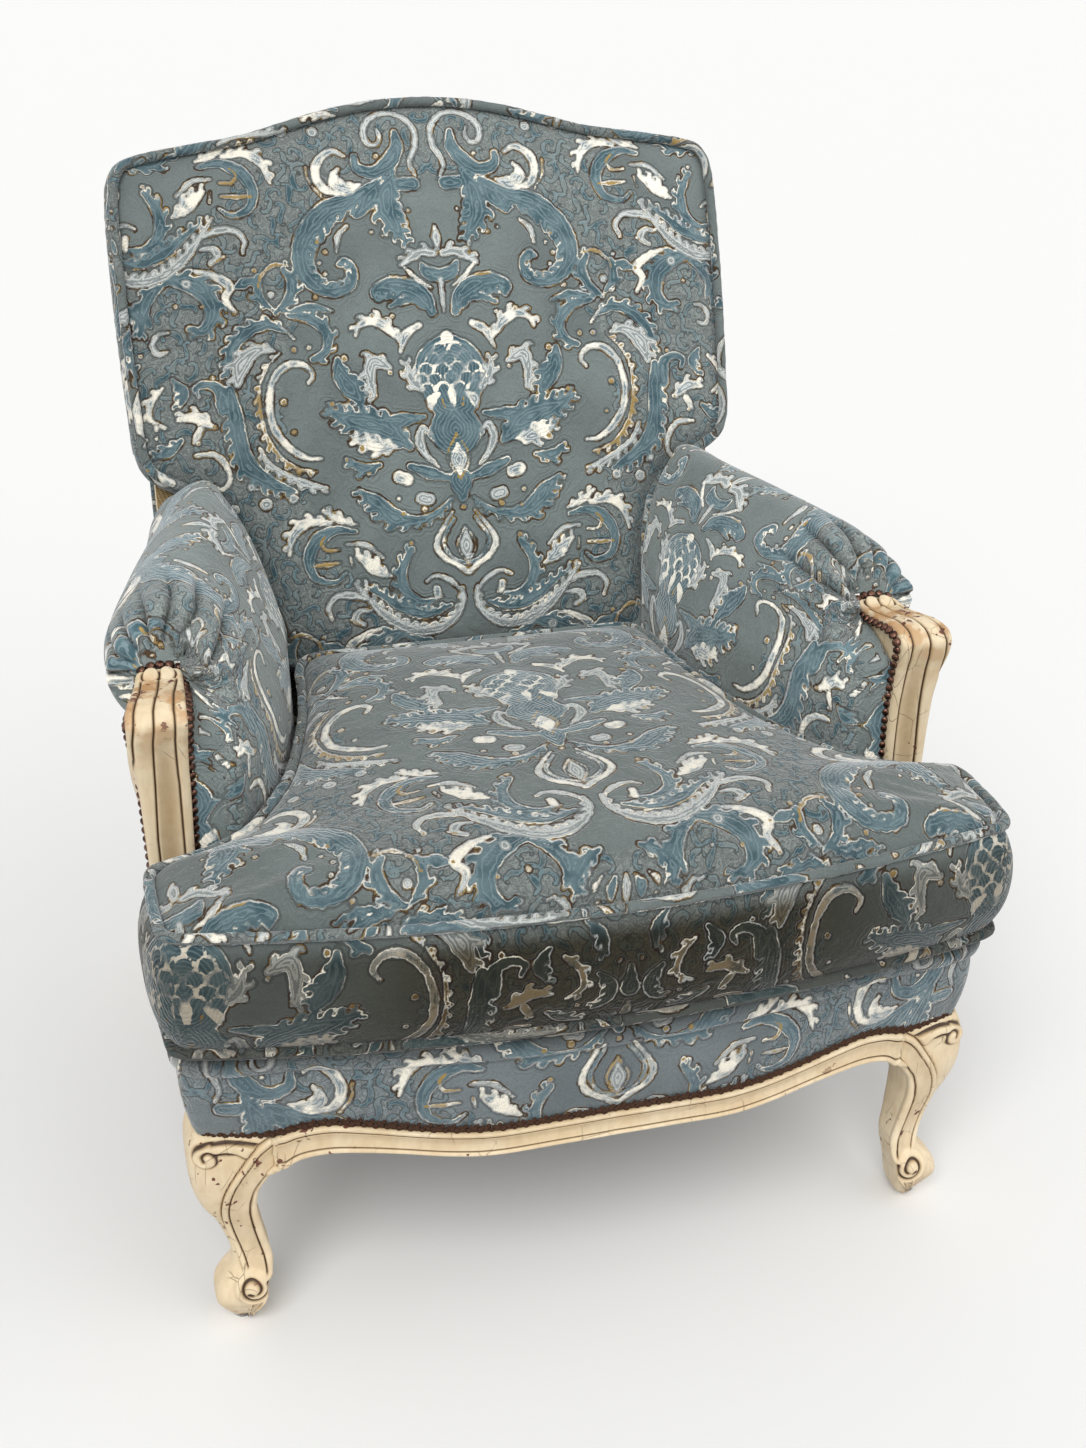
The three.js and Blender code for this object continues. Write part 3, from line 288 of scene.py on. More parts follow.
DAMASK = [
    # The pear under the medallion
    ("white", "", [(12.6, 126), (31, 99), (34, 88), (25, 74), (11.5, 66), (1, 57)], [1.4, 3.5, 3.2]),
    ("blue", "", [(12, 118), (26, 94), (18, 76), (2, 67)], [1.5]),
    ("grey", "", [(0, 104), (0, 88), (0, 70)], [1, 7, 1.5]),
    ("gold", "", [(0, 108), (10.5, 88), (0, 67)], [1.4]),
    # The feather that sweeps under the pear
    ("grey", "left", [(9, 40), (8, 26), (16, 10), (36.5, -3), (61.5, -4), (82, 5), (100, 19.5), (114, 35.5),
                      (130, 56)], [2.5, 5, 5, 1.6]),
    ("gold", "", [(36.5, 9.3), (64, 11), (91, 24)], [1.3]),
    ("blue", "left", [(22, 22), (50, 14), (78, 24), (100, 40), (118, 52)], [2, 5, 1.6]),
    ("blue", "right", [(40, 30), (55, 29), (73, 42), (76, 63), (70.6, 76), (62.6, 88)], [2, 5, 3]),
    ("grey", "", [(7, 33), (20.6, 49), (39, 56), (49, 51)], [1.6, 3, 1.6]),
    ("white", "", [(36.5, 33), (38, 42)], [4]),
    ("white", "left", [(89, 60), (100, 66), (112, 76), (124, 86)], [2, 8, 3]),
    ("grey", "", [(95.6, 81), (114, 97), (134, 99)], [1.6, 3, 1.6]),
    ("gold", "", [(132, 85), (130, 74)], [1.6]),
    ("blue", "", [(123, 112.7), (145.6, 116), (168, 103.6), (177, 85.4), (170.6, 65), (150, 59), (138.8, 67)],
     [2, 6, 4, 1.5]),
    ("gold", "", [(143, 94.5), (157, 94.5), (161.5, 103.6), (154.7, 111.6)], [1.5, 2.5, 1.4]),
    ("gold", "", [(143, 79.8), (159, 78.6), (175, 78.6)], [1.4, 3, 1.5]),
    ("white", "left", [(120.6, 119.5), (140, 127), (156, 138)], [1.6, 4.5, 2]),
    ("white", "left", [(150, 124), (175, 126), (190, 115), (197, 92)], [3, 6, 1.6]),
    ("grey", "", [(114, 35.5), (134, 43), (152, 42), (161.5, 31), (158, 19.5)], [1.6, 4, 3, 2]),
    ("grey", "", [(114, 24), (127.4, 24), (132, 15), (123, 9)], [1.6, 4, 2.5]),
    ("gold", "", [(126, 9), (138, 16)], [1.5]),
    ("blue", "", [(145.6, -17), (166, -10)], [1.6, 5, 2]),
    # The crown over the medallion
    ("grey", "", [(0, 438), (0, 425), (0, 412)], [1, 5, 2]),
    ("grey", "left", [(6, 408), (18, 410), (30, 404), (42, 397)], [4, 4.5, 3]),
    ("white", "", [(41, 397), (28, 383), (12, 371)], [1.5, 2.6, 1.5]),
    ("blue", "", [(0, 384), (14, 388), (20, 398)], [6, 6, 2]),
    ("grey", "", [(0, 380), (0, 345)], [3, 1.6]),
    ("blue", "right", [(13, 344.5), (21, 362.7), (41.5, 374), (59.7, 376), (74.5, 369.5), (71, 361.6)],
     [4, 8, 7, 3]),
    ("gold", "", [(39, 383), (57, 385)], [1.6]),
    ("blue", "", [(19, 351), (37, 360), (60, 353)], [1.5, 4, 2]),
    ("white", "", [(30, 331), (45, 322), (53, 303.6)], [4, 5, 1.6]),
    ("white", "left", [(53, 315), (65.5, 331), (81, 339), (97, 333), (100.7, 324)], [2, 5, 6, 4, 2]),
    # The medallion
    ("blue", "", [(0, 305), (0, 280), (0, 252)], [12, 31, 22]),
    ("white", "", [(0, 317)], [7]),
    ("white", "", [(15, 256), (24, 249), (26, 238)], [2, 6, 1.5]),
    ("white", "", [(0, 256), (0, 240)], [5, 2]),
    ("grey", "both", [(34, 262), (44, 274), (48, 290)], [4, 5, 2]),
    ("gold", "", [(12, 250), (10, 240)], [1.5]),
    ("blue", "both", [(0, 246), (0, 215)], [8, 22]),
    ("grey", "", [(28, 212.7), (37, 219.5), (42, 206), (36, 190), (22.6, 175)], [2, 4, 5, 3, 1.5]),
    ("white", "", [(0, 200), (0, 185), (0, 167)], [1.5, 10, 2]),
    ("gold", "", [(0, 212), (12, 186), (0, 160)], [1.5]),
    ("blue", "both", [(54, 201), (75, 219.5), (97.6, 228.6), (125, 237.7), (141, 246.8)], [4, 9, 10, 7, 2]),
    ("white", "both", [(68, 201), (88.5, 203.6), (106.7, 210), (118, 216)], [2, 8, 6, 1.5]),
    ("blue", "right", [(88.5, 183), (109, 181), (125, 192)], [2, 5, 2]),
    ("blue", "", [(34, 232), (56.7, 229.8), (84, 232)], [2, 6, 3]),
    ("grey", "left", [(67, 287.7), (85, 294.5), (89.5, 280.9), (87, 258)], [3, 7, 5, 3]),
    ("blue", "right", [(123.6, 299), (121, 280.9), (112, 267), (103, 253.6)], [3, 7, 8, 4]),
    ("blue", "right", [(12.5, 140), (33, 124), (55.7, 119.5), (78, 124), (96.6, 142), (114.8, 157)],
     [1.5, 3, 4, 8, 7, 2]),
    ("white", "both", [(60, 165), (69, 168)], [7]),
    ("grey", "both", [(38, 141), (46, 143)], [6]),
    ("blue", "", [(12.5, 163), (33, 169.5), (55.7, 178.6)], [3, 6, 3]),
    ("blue", "", [(0, 160), (0, 140)], [10, 4]),
    # The long scroll beside the medallion
    ("white", "", [(157.7, 276), (152, 285), (160, 295.7), (178, 296.8), (194, 283), (201, 262.7), (202, 251),
                   (198.6, 228.6), (184, 208), (165.8, 195.7), (151, 194.5)],
     [2, 3, 4, 4, 3.5, 4, 4, 4, 4, 3, 1.6]),
    ("gold", "left", [(185, 310.4), (201, 294.5), (211, 271.8), (208.8, 226), (198.6, 203.6), (181.7, 187.7),
                      (159, 181)], [1.5, 1.6, 2, 2.5, 3, 2.5, 1.5]),
    ("grey", "left", [(216.8, 210), (207.7, 192), (188.5, 178.6), (165.8, 167), (150, 162.7)],
     [2, 3, 3, 4, 2]),
    ("grey", "left", [(189.5, 312.7), (207.7, 315), (225.9, 301), (233.8, 278.6)], [1.6, 6, 9, 3]),
    ("blue", "left", [(242, 275), (239.5, 249), (237, 217), (230, 192), (206.7, 171.8), (181.7, 160.4)],
     [4, 7, 7, 8, 6, 2]),
    ("blue", "left", [(149.6, 301), (136, 308), (131, 326), (147, 344.5), (172, 350)], [3, 4, 5, 4.5, 2]),
    ("blue", "left", [(176, 333), (195, 341), (217.8, 334), (236, 315), (242.8, 290)], [2, 4.5, 5, 4.5, 2]),
    ("white", "", [(167.8, 324), (183.7, 342)], [1.5]),
    ("blue", "left", [(184.7, 352.5), (168.8, 367), (163, 385.4), (171, 399)], [2, 4, 5, 2.5]),
    ("blue", "right", [(187, 356), (200, 372), (199, 392)], [1.5, 4, 3]),
    ("gold", "", [(164, 402), (180, 404), (196, 392), (200, 380)], [1.5, 3, 2, 1.4]),
    ("blue", "", [(123, 351), (146, 357), (168.8, 353.6)], [1.4, 4, 2]),
    # The pair of leaves that meet over the crown
    ("grey", "", [(14, 493), (18.5, 508), (10.5, 526), (9.4, 544.5), (20.8, 560), (39, 565.4), (57, 558),
                  (65, 544.5), (61.7, 530.9), (52.6, 529.8), (48, 537.7), (50.3, 546.8)],
     [1.6, 2.5, 3, 3, 3, 2.5, 2.5, 3, 3.5, 3, 2, 1.4]),
    ("blue", "", [(31, 542), (31, 526), (43.5, 508), (61.7, 499), (77.6, 505.9), (78.7, 517)],
     [3, 6, 7, 6, 5, 3]),
    ("blue", "both", [(39, 499), (48, 476), (50, 453.6), (39, 430.9), (33, 421.8)], [3, 7, 9, 6, 2]),
    ("blue", "", [(57, 487.7), (70.8, 467), (84, 453.6)], [3, 7, 4]),
    ("blue", "right", [(61.7, 487.7), (88, 469.5), (115, 460.4), (133, 444.5), (147, 426), (151.6, 403.6),
                       (142.5, 383), (119.8, 371.8), (99, 378.6), (94.8, 394.5), (103.9, 405.9),
                       (110.7, 401)],
     [2, 5, 8, 9, 9, 8, 7, 6, 5, 4, 3, 2]),
    ("blue", "both", [(18.5, 485), (32, 485)], [6]),
    ("grey", "", [(97, 442), (108, 430.9), (110.7, 415)], [1.5, 3, 1.5]),
    ("white", "", [(90, 518), (101.6, 524), (117.5, 515), (123, 499), (115, 482), (94.8, 476)],
     [2, 4, 5, 5, 4, 2]),
    ("white", "left", [(76.6, 486.6), (92.5, 480.9), (106, 490), (103.9, 501)], [2, 6, 5, 2]),
    ("gold", "", [(133, 508), (131, 492), (119.8, 475)], [1.4]),
    # Leaves towards the side of the repeat
    ("white", "left", [(264.5, 237.7), (282.7, 249), (301, 246.8)], [3, 6, 5, 2]),
    ("white", "", [(278, 235), (285, 221.8)], [4, 4, 2]),
    ("white", "", [(285, 208), (264.5, 207), (253, 192), (253, 176), (262, 169.5), (268, 175)],
     [2, 3, 3.5, 3, 2.5, 2]),
    ("blue", "", [(251, 253.6), (253, 276), (266.8, 283), (278, 278.6), (274.7, 269.5)], [5, 6, 4, 3, 2]),
    ("blue", "right", [(297, 396.8), (272, 390), (253.9, 374), (251.6, 353.6), (263, 340), (276.6, 342)],
     [3, 7, 8, 7, 5, 3]),
    ("white", "", [(265, 402.5), (247, 396.8), (228.9, 383), (235.7, 371.8), (226.6, 355.9)],
     [2, 4, 5, 4, 2]),
    ("blue", "left", [(296, 392), (312, 382), (322, 364), (317, 348)], [2, 5, 5, 2]),
    ("blue", "both", [(352, 374), (336, 366), (326, 352), (329, 338)], [2, 4, 4, 2]),
    ("grey", "", [(299, 340), (310, 338), (317, 328), (312, 318), (302, 320)], [1.5, 2.5, 3, 2.5, 1.5]),
    ("grey", "", [(370, 352), (370, 340), (370, 328)], [1, 4, 1.5]),
    ("blue", "", [(361, 350), (357, 341), (356, 330)], [1.5, 4, 1.5]),
    ("white", "", [(349, 352), (343, 346), (340, 338)], [1.2, 2.4, 1.2]),
    ("blue", "right", [(334, 308), (346, 296), (348, 280)], [2, 4, 2]),
    ("white", "left", [(312, 282), (326, 268), (328, 250), (314, 240)], [2, 3.5, 3, 2]),
    ("blue", "left", [(300, 290), (290, 276), (296, 262)], [2, 4.5, 2]),
    ("blue", "right", [(342, 262), (353, 248), (350, 232), (338, 224)], [2, 4.5, 4, 2]),
    ("blue", "both", [(370, 266), (370, 242)], [2, 7]),
    ("blue", "left", [(298, 226), (312, 215), (330, 209)], [2, 4.5, 2]),
    ("blue", "both", [(348, 214), (356, 202), (350, 190)], [2, 4, 2]),
    ("grey", "", [(370, 226), (370, 210)], [2, 4.5]),
    # Where the velvet ground is left plain
    ("plain", "", [(0, 10), (0, 90), (0, 180), (0, 260), (0, 330), (0, 400), (0, 480)],
     [40, 105, 170, 190, 160, 80, 14]),
]

DOTS = {  # round spots: place and radius
    "gold": [(0, 130, 3), (62.6, 94.5, 3), (76, 84, 2), (32, 32, 2), (158, 18, 2.5), (168, -1, 3),
        (58.7, 342, 3), (81, 344.6, 3), (134, 252.5, 3), (106.7, 202.5, 4), (102, 174, 3), (125, 192, 2.5),
        (67, 282, 3), (115.6, 300, 4), (44, 131, 3.5), (71.6, 144.5, 3), (68, 128, 3), (186, 258, 4),
        (178, 225, 3), (153, 313.8, 3), (169, 312.7, 3.5), (140, 367, 3), (55, 517, 2.5),
        (27.6, 455.9, 2.2), (33, 438.8, 2.2), (59, 429.8, 2.2), (70.8, 434, 2.2), (131, 426, 2.6),
        (124, 415, 2.6), (131, 403.6, 2.6), (126.6, 391, 2.6), (262, 237, 3), (281, 221, 3),
        (258.8, 288.8, 3), (260.7, 365, 2.5), (288, 367, 2.5), (228, 383, 2), (228, 356, 2),
        (330, 318, 2.5), (360, 272, 2.5), (324, 230, 2.5), (344, 330, 2.5)],
    "grey": [(95.6, -10, 5), (187, 372, 4), (119.8, 546.8, 5), (215.8, 150, 6), (186, 153.6, 5),
        (230, 169.5, 4)],
}

SCALE_RADIUS = 8  # fish scales of the medallion
SCALE_ROWS = [(303, (9,)), (293, (0, 18)), (282, (9, 27)), (271, (0, 18, 33)), (260, (9, 27))]
LOBE_PITCH = 12.5  # from one lobe of a leaf's edge to the next
FULLNESS = {"blue": 1.3, "grey": 1.1, "white": 1.0, "gold": 0.9, "plain": 1.0}
LOBE_POINTS = 14
CURL_TRIES = 5000
CURL_SPACING = 14.5
CURL_CLEARANCE = 4.5  # between a small curl's middle and the main figure
CURL_SEED = 11


def scales():
    """Half circles, row over row, as white lines."""
    turn = np.linspace(0, math.pi, 7)
    arcs = []
    for y, places in SCALE_ROWS:
        for x in places:
            arc = np.stack([x + SCALE_RADIUS * np.cos(turn), y + SCALE_RADIUS * np.sin(turn)], axis=1)
            arcs.append(("white", "", arc, [1.3]))
    return arcs


def dots():
    """The round spots as strokes of one point."""
    return [(kind, "", [(x, y)], [radius]) for kind, spots in DOTS.items() for x, y, radius in spots]


def branches(points, radii, frill):
    """The stroke itself, and the lobes along a leaf's edge, as points 1 mm apart with radii."""
    points = np.asarray(points, float)
    if len(points) == 1:
        return [(points, radii)]
    length = np.linalg.norm(np.diff(points, axis=0), axis=1).sum()
    count = max(int(length), 4)
    spine = smooth(points, count)
    thick = np.interp(np.linspace(0, 1, count), np.linspace(0, 1, len(radii)), radii)
    made = [(spine, thick)]
    if length < 2 * LOBE_PITCH:
        return made
    right = normals_2d(spine, closed=False)
    along = np.stack([-right[:, 1], right[:, 0]], axis=1)
    for side in {"left": (-1,), "right": (1,), "both": (-1, 1)}.get(frill, ()):
        for place in np.arange(LOBE_PITCH / 2, length, LOBE_PITCH):
            i = min(int(place / length * count), count - 1)
            out = side * right[i]
            size = 0.75 * thick[i] + 3.6
            shoulder = spine[i] + out * (thick[i] * 0.55) + along[i] * size * 0.1
            tip = spine[i] + out * (thick[i] * 0.8 + size * 0.62) + along[i] * size * 0.75
            hook = tip + along[i] * size * 0.42 - out * size * 0.12
            lobe = smooth([spine[i], shoulder, tip, hook], LOBE_POINTS)
            widths = [0.4 * thick[i] + 1, 0.2 * thick[i] + 2, 1]
            made.append((lobe, np.interp(np.linspace(0, 1, LOBE_POINTS), [0, 0.6, 1], widths)))
    return made


def images(line):
    """The line in every place that the repeat's mirrors and half drop bring it to."""
    x, y = line[:, 0], line[:, 1]
    for flip_x in (x, -x, 2 * REPEAT_X - x):
        for drop in (-2 * REPEAT_Y, 0, 2 * REPEAT_Y):
            yield flip_x, y + drop
    for step_x in (REPEAT_X - x, REPEAT_X + x, x - REPEAT_X):
        for drop in (-REPEAT_Y, REPEAT_Y):
            yield step_x, y + drop


def lay_stroke(field, x, y, thick):
    """Lowers a field to the distance from the stroke's edge, in small windows."""
    for start in range(0, len(x), 8):
        px, py, r = x[start:start + 9], y[start:start + 9], thick[start:start + 9]
        reach = r.max() + FIELD_REACH
        x0, x1 = int(max(px.min() - reach, 0)), int(min(px.max() + reach + 1, REPEAT_X))
        y0, y1 = int(max(py.min() - reach, 0)), int(min(py.max() + reach + 1, REPEAT_Y))
        if x0 > x1 or y0 > y1:
            continue
        gy, gx = np.mgrid[y0:y1 + 1, x0:x1 + 1]
        gaps = np.sqrt((gx[..., None] - px) ** 2 + (gy[..., None] - py) ** 2) - r
        window = field[y0:y1 + 1, x0:x1 + 1]
        np.minimum(window, gaps.min(axis=2), out=window)


def small_scroll(middle, turn, hand, size, bent_once):
    """A little C or S scroll with a fat middle, as the ground between the main figures has."""
    share = np.linspace(-1, 1, 30)
    heading = share + 2.1 * share**3 if bent_once else 2.9 * np.abs(share) ** 2.6
    heading = turn + hand * heading
    step = size * 1.05
    spine = np.cumsum(np.stack([np.cos(heading), np.sin(heading)], axis=1) * step, axis=0)
    return spine - spine.mean(0) + middle, size * np.interp(share, [-1, -0.8, 0.1, 1], [2.0, 1.2, 2.6, 0.7])


def lay_curls(made):
    """Fills what the figure leaves free, outside the plain middle, with small curls."""
    chance = np.random.default_rng(CURL_SEED)
    figure = np.minimum.reduce([made[kind] for kind in FIGURES])
    taken = []
    for x, y in chance.random((CURL_TRIES, 2)) * (REPEAT_X, REPEAT_Y):
        turn, hand, size = chance.random() * math.tau, chance.choice([-1, 1]), chance.uniform(0.8, 1.25)
        bent_once = chance.random() < 0.6
        free = figure[int(y), int(x)] > CURL_CLEARANCE and made["plain"][int(y), int(x)] > 0
        apart = all(math.hypot(x - a, y - b) > CURL_SPACING * size for a, b in taken)
        if free and apart:
            taken.append((x, y))
            spine, thick = small_scroll((x, y), turn, hand, size, bent_once)
            for image_x, image_y in images(spine):
                lay_stroke(made["curl"], image_x, image_y, thick)


def make_fields():
    """For each kind of stroke, the distance to it on a millimetre grid over one quarter repeat."""
    blank = np.full((REPEAT_Y + 1, REPEAT_X + 1), float(FIELD_REACH))
    made = {kind: blank.copy() for kind in (*FIGURES, "plain", "curl")}
    for kind, frill, points, radii in DAMASK + dots() + scales():
        for spine, thick in branches(points, np.array(radii) * FULLNESS[kind], frill):
            for x, y in images(spine):
                lay_stroke(made[kind], x, y, thick)
    lay_curls(made)
    return made


FIELDS = make_fields()


def damask(x, y):
    """Distances to the strokes of each kind at places on the cloth, in millimetres."""
    x = np.abs(x) % (2 * REPEAT_X)
    x = np.where(x > REPEAT_X, 2 * REPEAT_X - x, x)
    y = y % (2 * REPEAT_Y)
    stepped = y >= REPEAT_Y
    x = np.where(stepped, REPEAT_X - x, x)
    y = np.where(stepped, y - REPEAT_Y, y)
    i = np.minimum(x.astype(int), REPEAT_X - 1)
    j = np.minimum(y.astype(int), REPEAT_Y - 1)
    u, v = x - i, y - j
    found = {}
    for kind, field in FIELDS.items():
        low = field[j, i] * (1 - u) + field[j, i + 1] * u
        high = field[j + 1, i] * (1 - u) + field[j + 1, i + 1] * u
        found[kind] = low * (1 - v) + high * v
    return found


def dress(piece, x, y, dirt_and_painted_light=0.0):
    """Writes the damask onto a piece's points, with a value that darkens the cloth above 0 (dirt and painted
    shade) and lightens it below 0 (painted sheen).
    """
    for kind, distances in damask(x, y).items():
        paint_points(piece.data, kind, distances)
    paint_points(piece.data, "dirt_and_painted_light", np.broadcast_to(dirt_and_painted_light, x.shape))


# Material building

class Value:
    """A shader value that can be added, subtracted and multiplied like a number."""

    def __init__(self, tree, socket):
        self.tree = tree
        self.socket = socket

    def maths(self, operation, other=0.0):
        return Value(self.tree, node(self.tree, "Math", {0: self, 1: other}, operation=operation).outputs[0])

    def __add__(self, other):
        return self.maths("ADD", other)

    def __sub__(self, other):
        return self.maths("SUBTRACT", other)

    def __mul__(self, other):
        return self.maths("MULTIPLY", other)

    def left_of(self, whole):
        """What the value leaves of a whole number."""
        return Value(self.tree, node(self.tree, "Math", {0: whole, 1: self}, operation="SUBTRACT").outputs[0])

    def sine(self):
        return self.maths("SINE")

    def ramp(self, low, high, to_low=0.0, to_high=1.0):
        """A smooth step between two limits, mapped to two others."""
        limits = {"Value": self, "From Min": low, "From Max": high, "To Min": to_low, "To Max": to_high}
        step = node(self.tree, "MapRange", limits, interpolation_type="SMOOTHSTEP")
        return Value(self.tree, step.outputs["Result"])

    def band(self, low, high, edge):
        """1 between two limits and 0 outside, with soft edges."""
        return self.ramp(low - edge, low + edge) * self.ramp(high - edge, high + edge, 1.0, 0.0)


def node(tree, kind, values=None, **settings):
    made = tree.nodes.new("ShaderNode" + kind)
    for key, value in settings.items():
        setattr(made, key, value)
    for name, value in (values or {}).items():
        value = getattr(value, "socket", value)
        socket = made.inputs[name]
        if isinstance(value, bpy.types.NodeSocket):
            tree.links.new(value, socket)
        elif socket.type == "RGBA" and len(value) == 3:
            socket.default_value = (*value, 1)
        else:
            socket.default_value = value
    return made


class Look:
    """A material being built: colours are laid one over another, then fed to its main shader."""

    def __init__(self, name, constants):
        self.material = bpy.data.materials.new(name)
        self.material.use_nodes = True
        self.tree = self.material.node_tree
        self.shader = self.tree.nodes["Principled BSDF"]
        self.colours = None
        self.places = {}
        for socket, value in constants.items():
            self.shader.inputs[socket].default_value = value

    def value(self, kind, values=None, output=0, **settings):
        return Value(self.tree, node(self.tree, kind, values, **settings).outputs[output])

    def place(self, stretch=(1, 1, 1)):
        """Places on the object, stretched; each stretch is made once."""
        if stretch not in self.places:
            inputs = {"Vector": self.value("TexCoord", output="Object"), "Scale": stretch}
            self.places[stretch] = self.value("Mapping", inputs)
        return self.places[stretch]

    def noise(self, scale, detail=2.0, distortion=0.0, roughness=0.5, stretch=(1, 1, 1)):
        return self.value("TexNoise", {"Vector": self.place(stretch), "Scale": scale, "Detail": detail,
                                       "Distortion": distortion, "Roughness": roughness}, "Fac")

    def attribute(self, name):
        return self.value("Attribute", output="Fac", attribute_name=name)

    def mix(self, share, a, b, blend="MIX"):
        return self.value("Mix", {0: share, 6: a, 7: b}, 2, data_type="RGBA", blend_type=blend)

    def lay(self, share, colour):
        self.colours = self.mix(share, self.colours, colour)

    def times(self, colour):
        return self.mix(1.0, self.colours, colour, "MULTIPLY")

    def feed(self, socket, value):
        self.tree.links.new(value.socket, self.shader.inputs[socket])

    def finish(self, height, distance):
        """Feeds the colours and a relief of a depth in metres; gives the material."""
        self.feed("Base Color", self.colours)
        bump = {"Height": height, "Distance": distance, "Strength": 1.0}
        self.feed("Normal", self.value("Bump", bump, "Normal"))
        return self.material


def tinted(colour, factor):
    return tuple(part * factor for part in colour)


GAP_SHADE = (0.060, 0.036, 0.018)
WHITE_YARN = (0.93, 0.88, 0.75)
WHITE_SHADE = (0.20, 0.25, 0.27)
GOLD_YARN = (0.36, 0.245, 0.085)
# darkening colour for dirt and painted shade, laid where the cloth's attribute is above 0
DIRT_AND_SHADE = (0.15, 0.115, 0.068)
PAINTED_SHEEN = (1.42, 1.42, 1.43)  # painted sheen: lightens the cloth where its attribute for dirt and painted light is below 0
EDGE = (0.3, -0.3)  # millimetres over which a figure's edge turns from ground to yarn
WOBBLE = 4.2  # how far, in millimetres, the figures' edges wander
RELIEF = 0.0020  # depth of the cut pile, in metres


def velvet(name, ground, scribble, blue_dark, blue_light, grey_tone, silver):
    """Cut-velvet damask: raised figure, silvery outlines, painted shade in the gaps round the figure and a
    napped ground; an attribute adds dirt, painted shade and painted sheen.
    """
    look = Look(name, {"Roughness": 0.88, "Specular IOR Level": 0.25, "Sheen Roughness": 0.35})
    cloud = look.noise(11, 4)
    grain = look.noise(900, 3)
    worm = look.noise(92, 2, 2.4)
    mottle = look.noise(52, 3)
    wobble = (look.noise(120, 3, 0.6, 0.55) - 0.5) * WOBBLE
    blue, grey, white, gold, curl = [look.attribute(kind) + wobble for kind in (*FIGURES, "curl")]
    plain, dirt_and_painted_light = look.attribute("plain"), look.attribute("dirt_and_painted_light")

    lines = worm.band(0.455, 0.545, 0.02)
    gaps = worm.band(0.56, 0.60, 0.015)
    look.colours = look.mix(lines * 0.8, scribble, tinted(scribble, 1.6))
    look.lay(gaps * 0.6, tinted(scribble, 0.5))
    look.lay(plain.ramp(6, -6), look.mix(cloud.ramp(0.3, 0.7), ground, tinted(ground, 1.3)))

    look.lay(curl.band(0.1, 1.1, 0.3), tinted(scribble, 0.5))
    look.lay(curl.ramp(0.3, -0.2), look.mix(mottle.ramp(0.4, 0.6), blue_dark, tinted(scribble, 1.25)))
    look.lay(curl.band(-0.8, -0.05, 0.25) * 0.75, blue_light)

    figure = blue.maths("MINIMUM", grey).maths("MINIMUM", white.maths("MINIMUM", gold))
    gap_line = figure.band(0.0, 1.8, 0.4)
    crescent = look.noise(44, 2).ramp(0.49, 0.56)
    # painted shade in the gap just outside each raised figure: the ground darkened, darker still in patches
    look.lay(gap_line * 0.5, tinted(ground, 0.45))
    look.lay(gap_line * crescent, GAP_SHADE)
    look.lay(figure.band(-0.1, 0.75, 0.25) * mottle.ramp(0.47, 0.56) * crescent, GOLD_YARN)

    vein = ((blue + look.noise(34, 2) * 13) * 1.6).sine()
    leaf = look.mix(mottle.ramp(0.32, 0.66, 0.0, 0.5), blue_dark, blue_light)
    look.lay(blue.ramp(*EDGE), look.mix(vein.ramp(0.1, 0.95, 0.0, 0.6), leaf, blue_light))
    thread = (grey * 2.1).sine()
    look.lay(grey.ramp(*EDGE), look.mix(thread.ramp(-0.6, 0.8), grey_tone, silver))
    rib = (white * 2.4).sine()
    shade = look.mix(rib.ramp(-0.7, 0.7), WHITE_SHADE, silver)
    look.lay(white.ramp(*EDGE), look.mix(mottle.ramp(0.6, 0.42), shade, WHITE_YARN))
    look.lay(gold.ramp(0.2, -0.4), GOLD_YARN)
    rim = figure.band(-1.1, -0.1, 0.3) * look.noise(48, 2).ramp(0.38, 0.56, 0.12, 1.0)
    look.lay(rim, look.mix(mottle.ramp(0.40, 0.52), silver, WHITE_YARN))

    nap = grain.ramp(0.2, 0.8, 0.82, 1.16)
    look.colours = look.times(look.value("CombineColor", {0: nap, 1: nap, 2: nap}))
    # painted sheen where the attribute is below 0; dirt and painted shade where it is above 0, kept off the
    # silvery rims
    look.lay(dirt_and_painted_light.ramp(0.0, -1.0), look.times(PAINTED_SHEEN))
    look.lay(dirt_and_painted_light * (rim * 0.62).left_of(1.0), look.times(DIRT_AND_SHADE))
    look.feed("Sheen Weight", figure.ramp(0.5, -1.5, 0.52, 1.0) * dirt_and_painted_light.ramp(0, 1, 1.0, 0.4))

    relief = figure.ramp(0.8, -1.8) + gap_line * -0.6 + grain * 0.15 + vein * 0.14 + lines * 0.07
    return look.finish(relief + curl.ramp(0.6, -1.0, 0.0, 0.32), RELIEF)


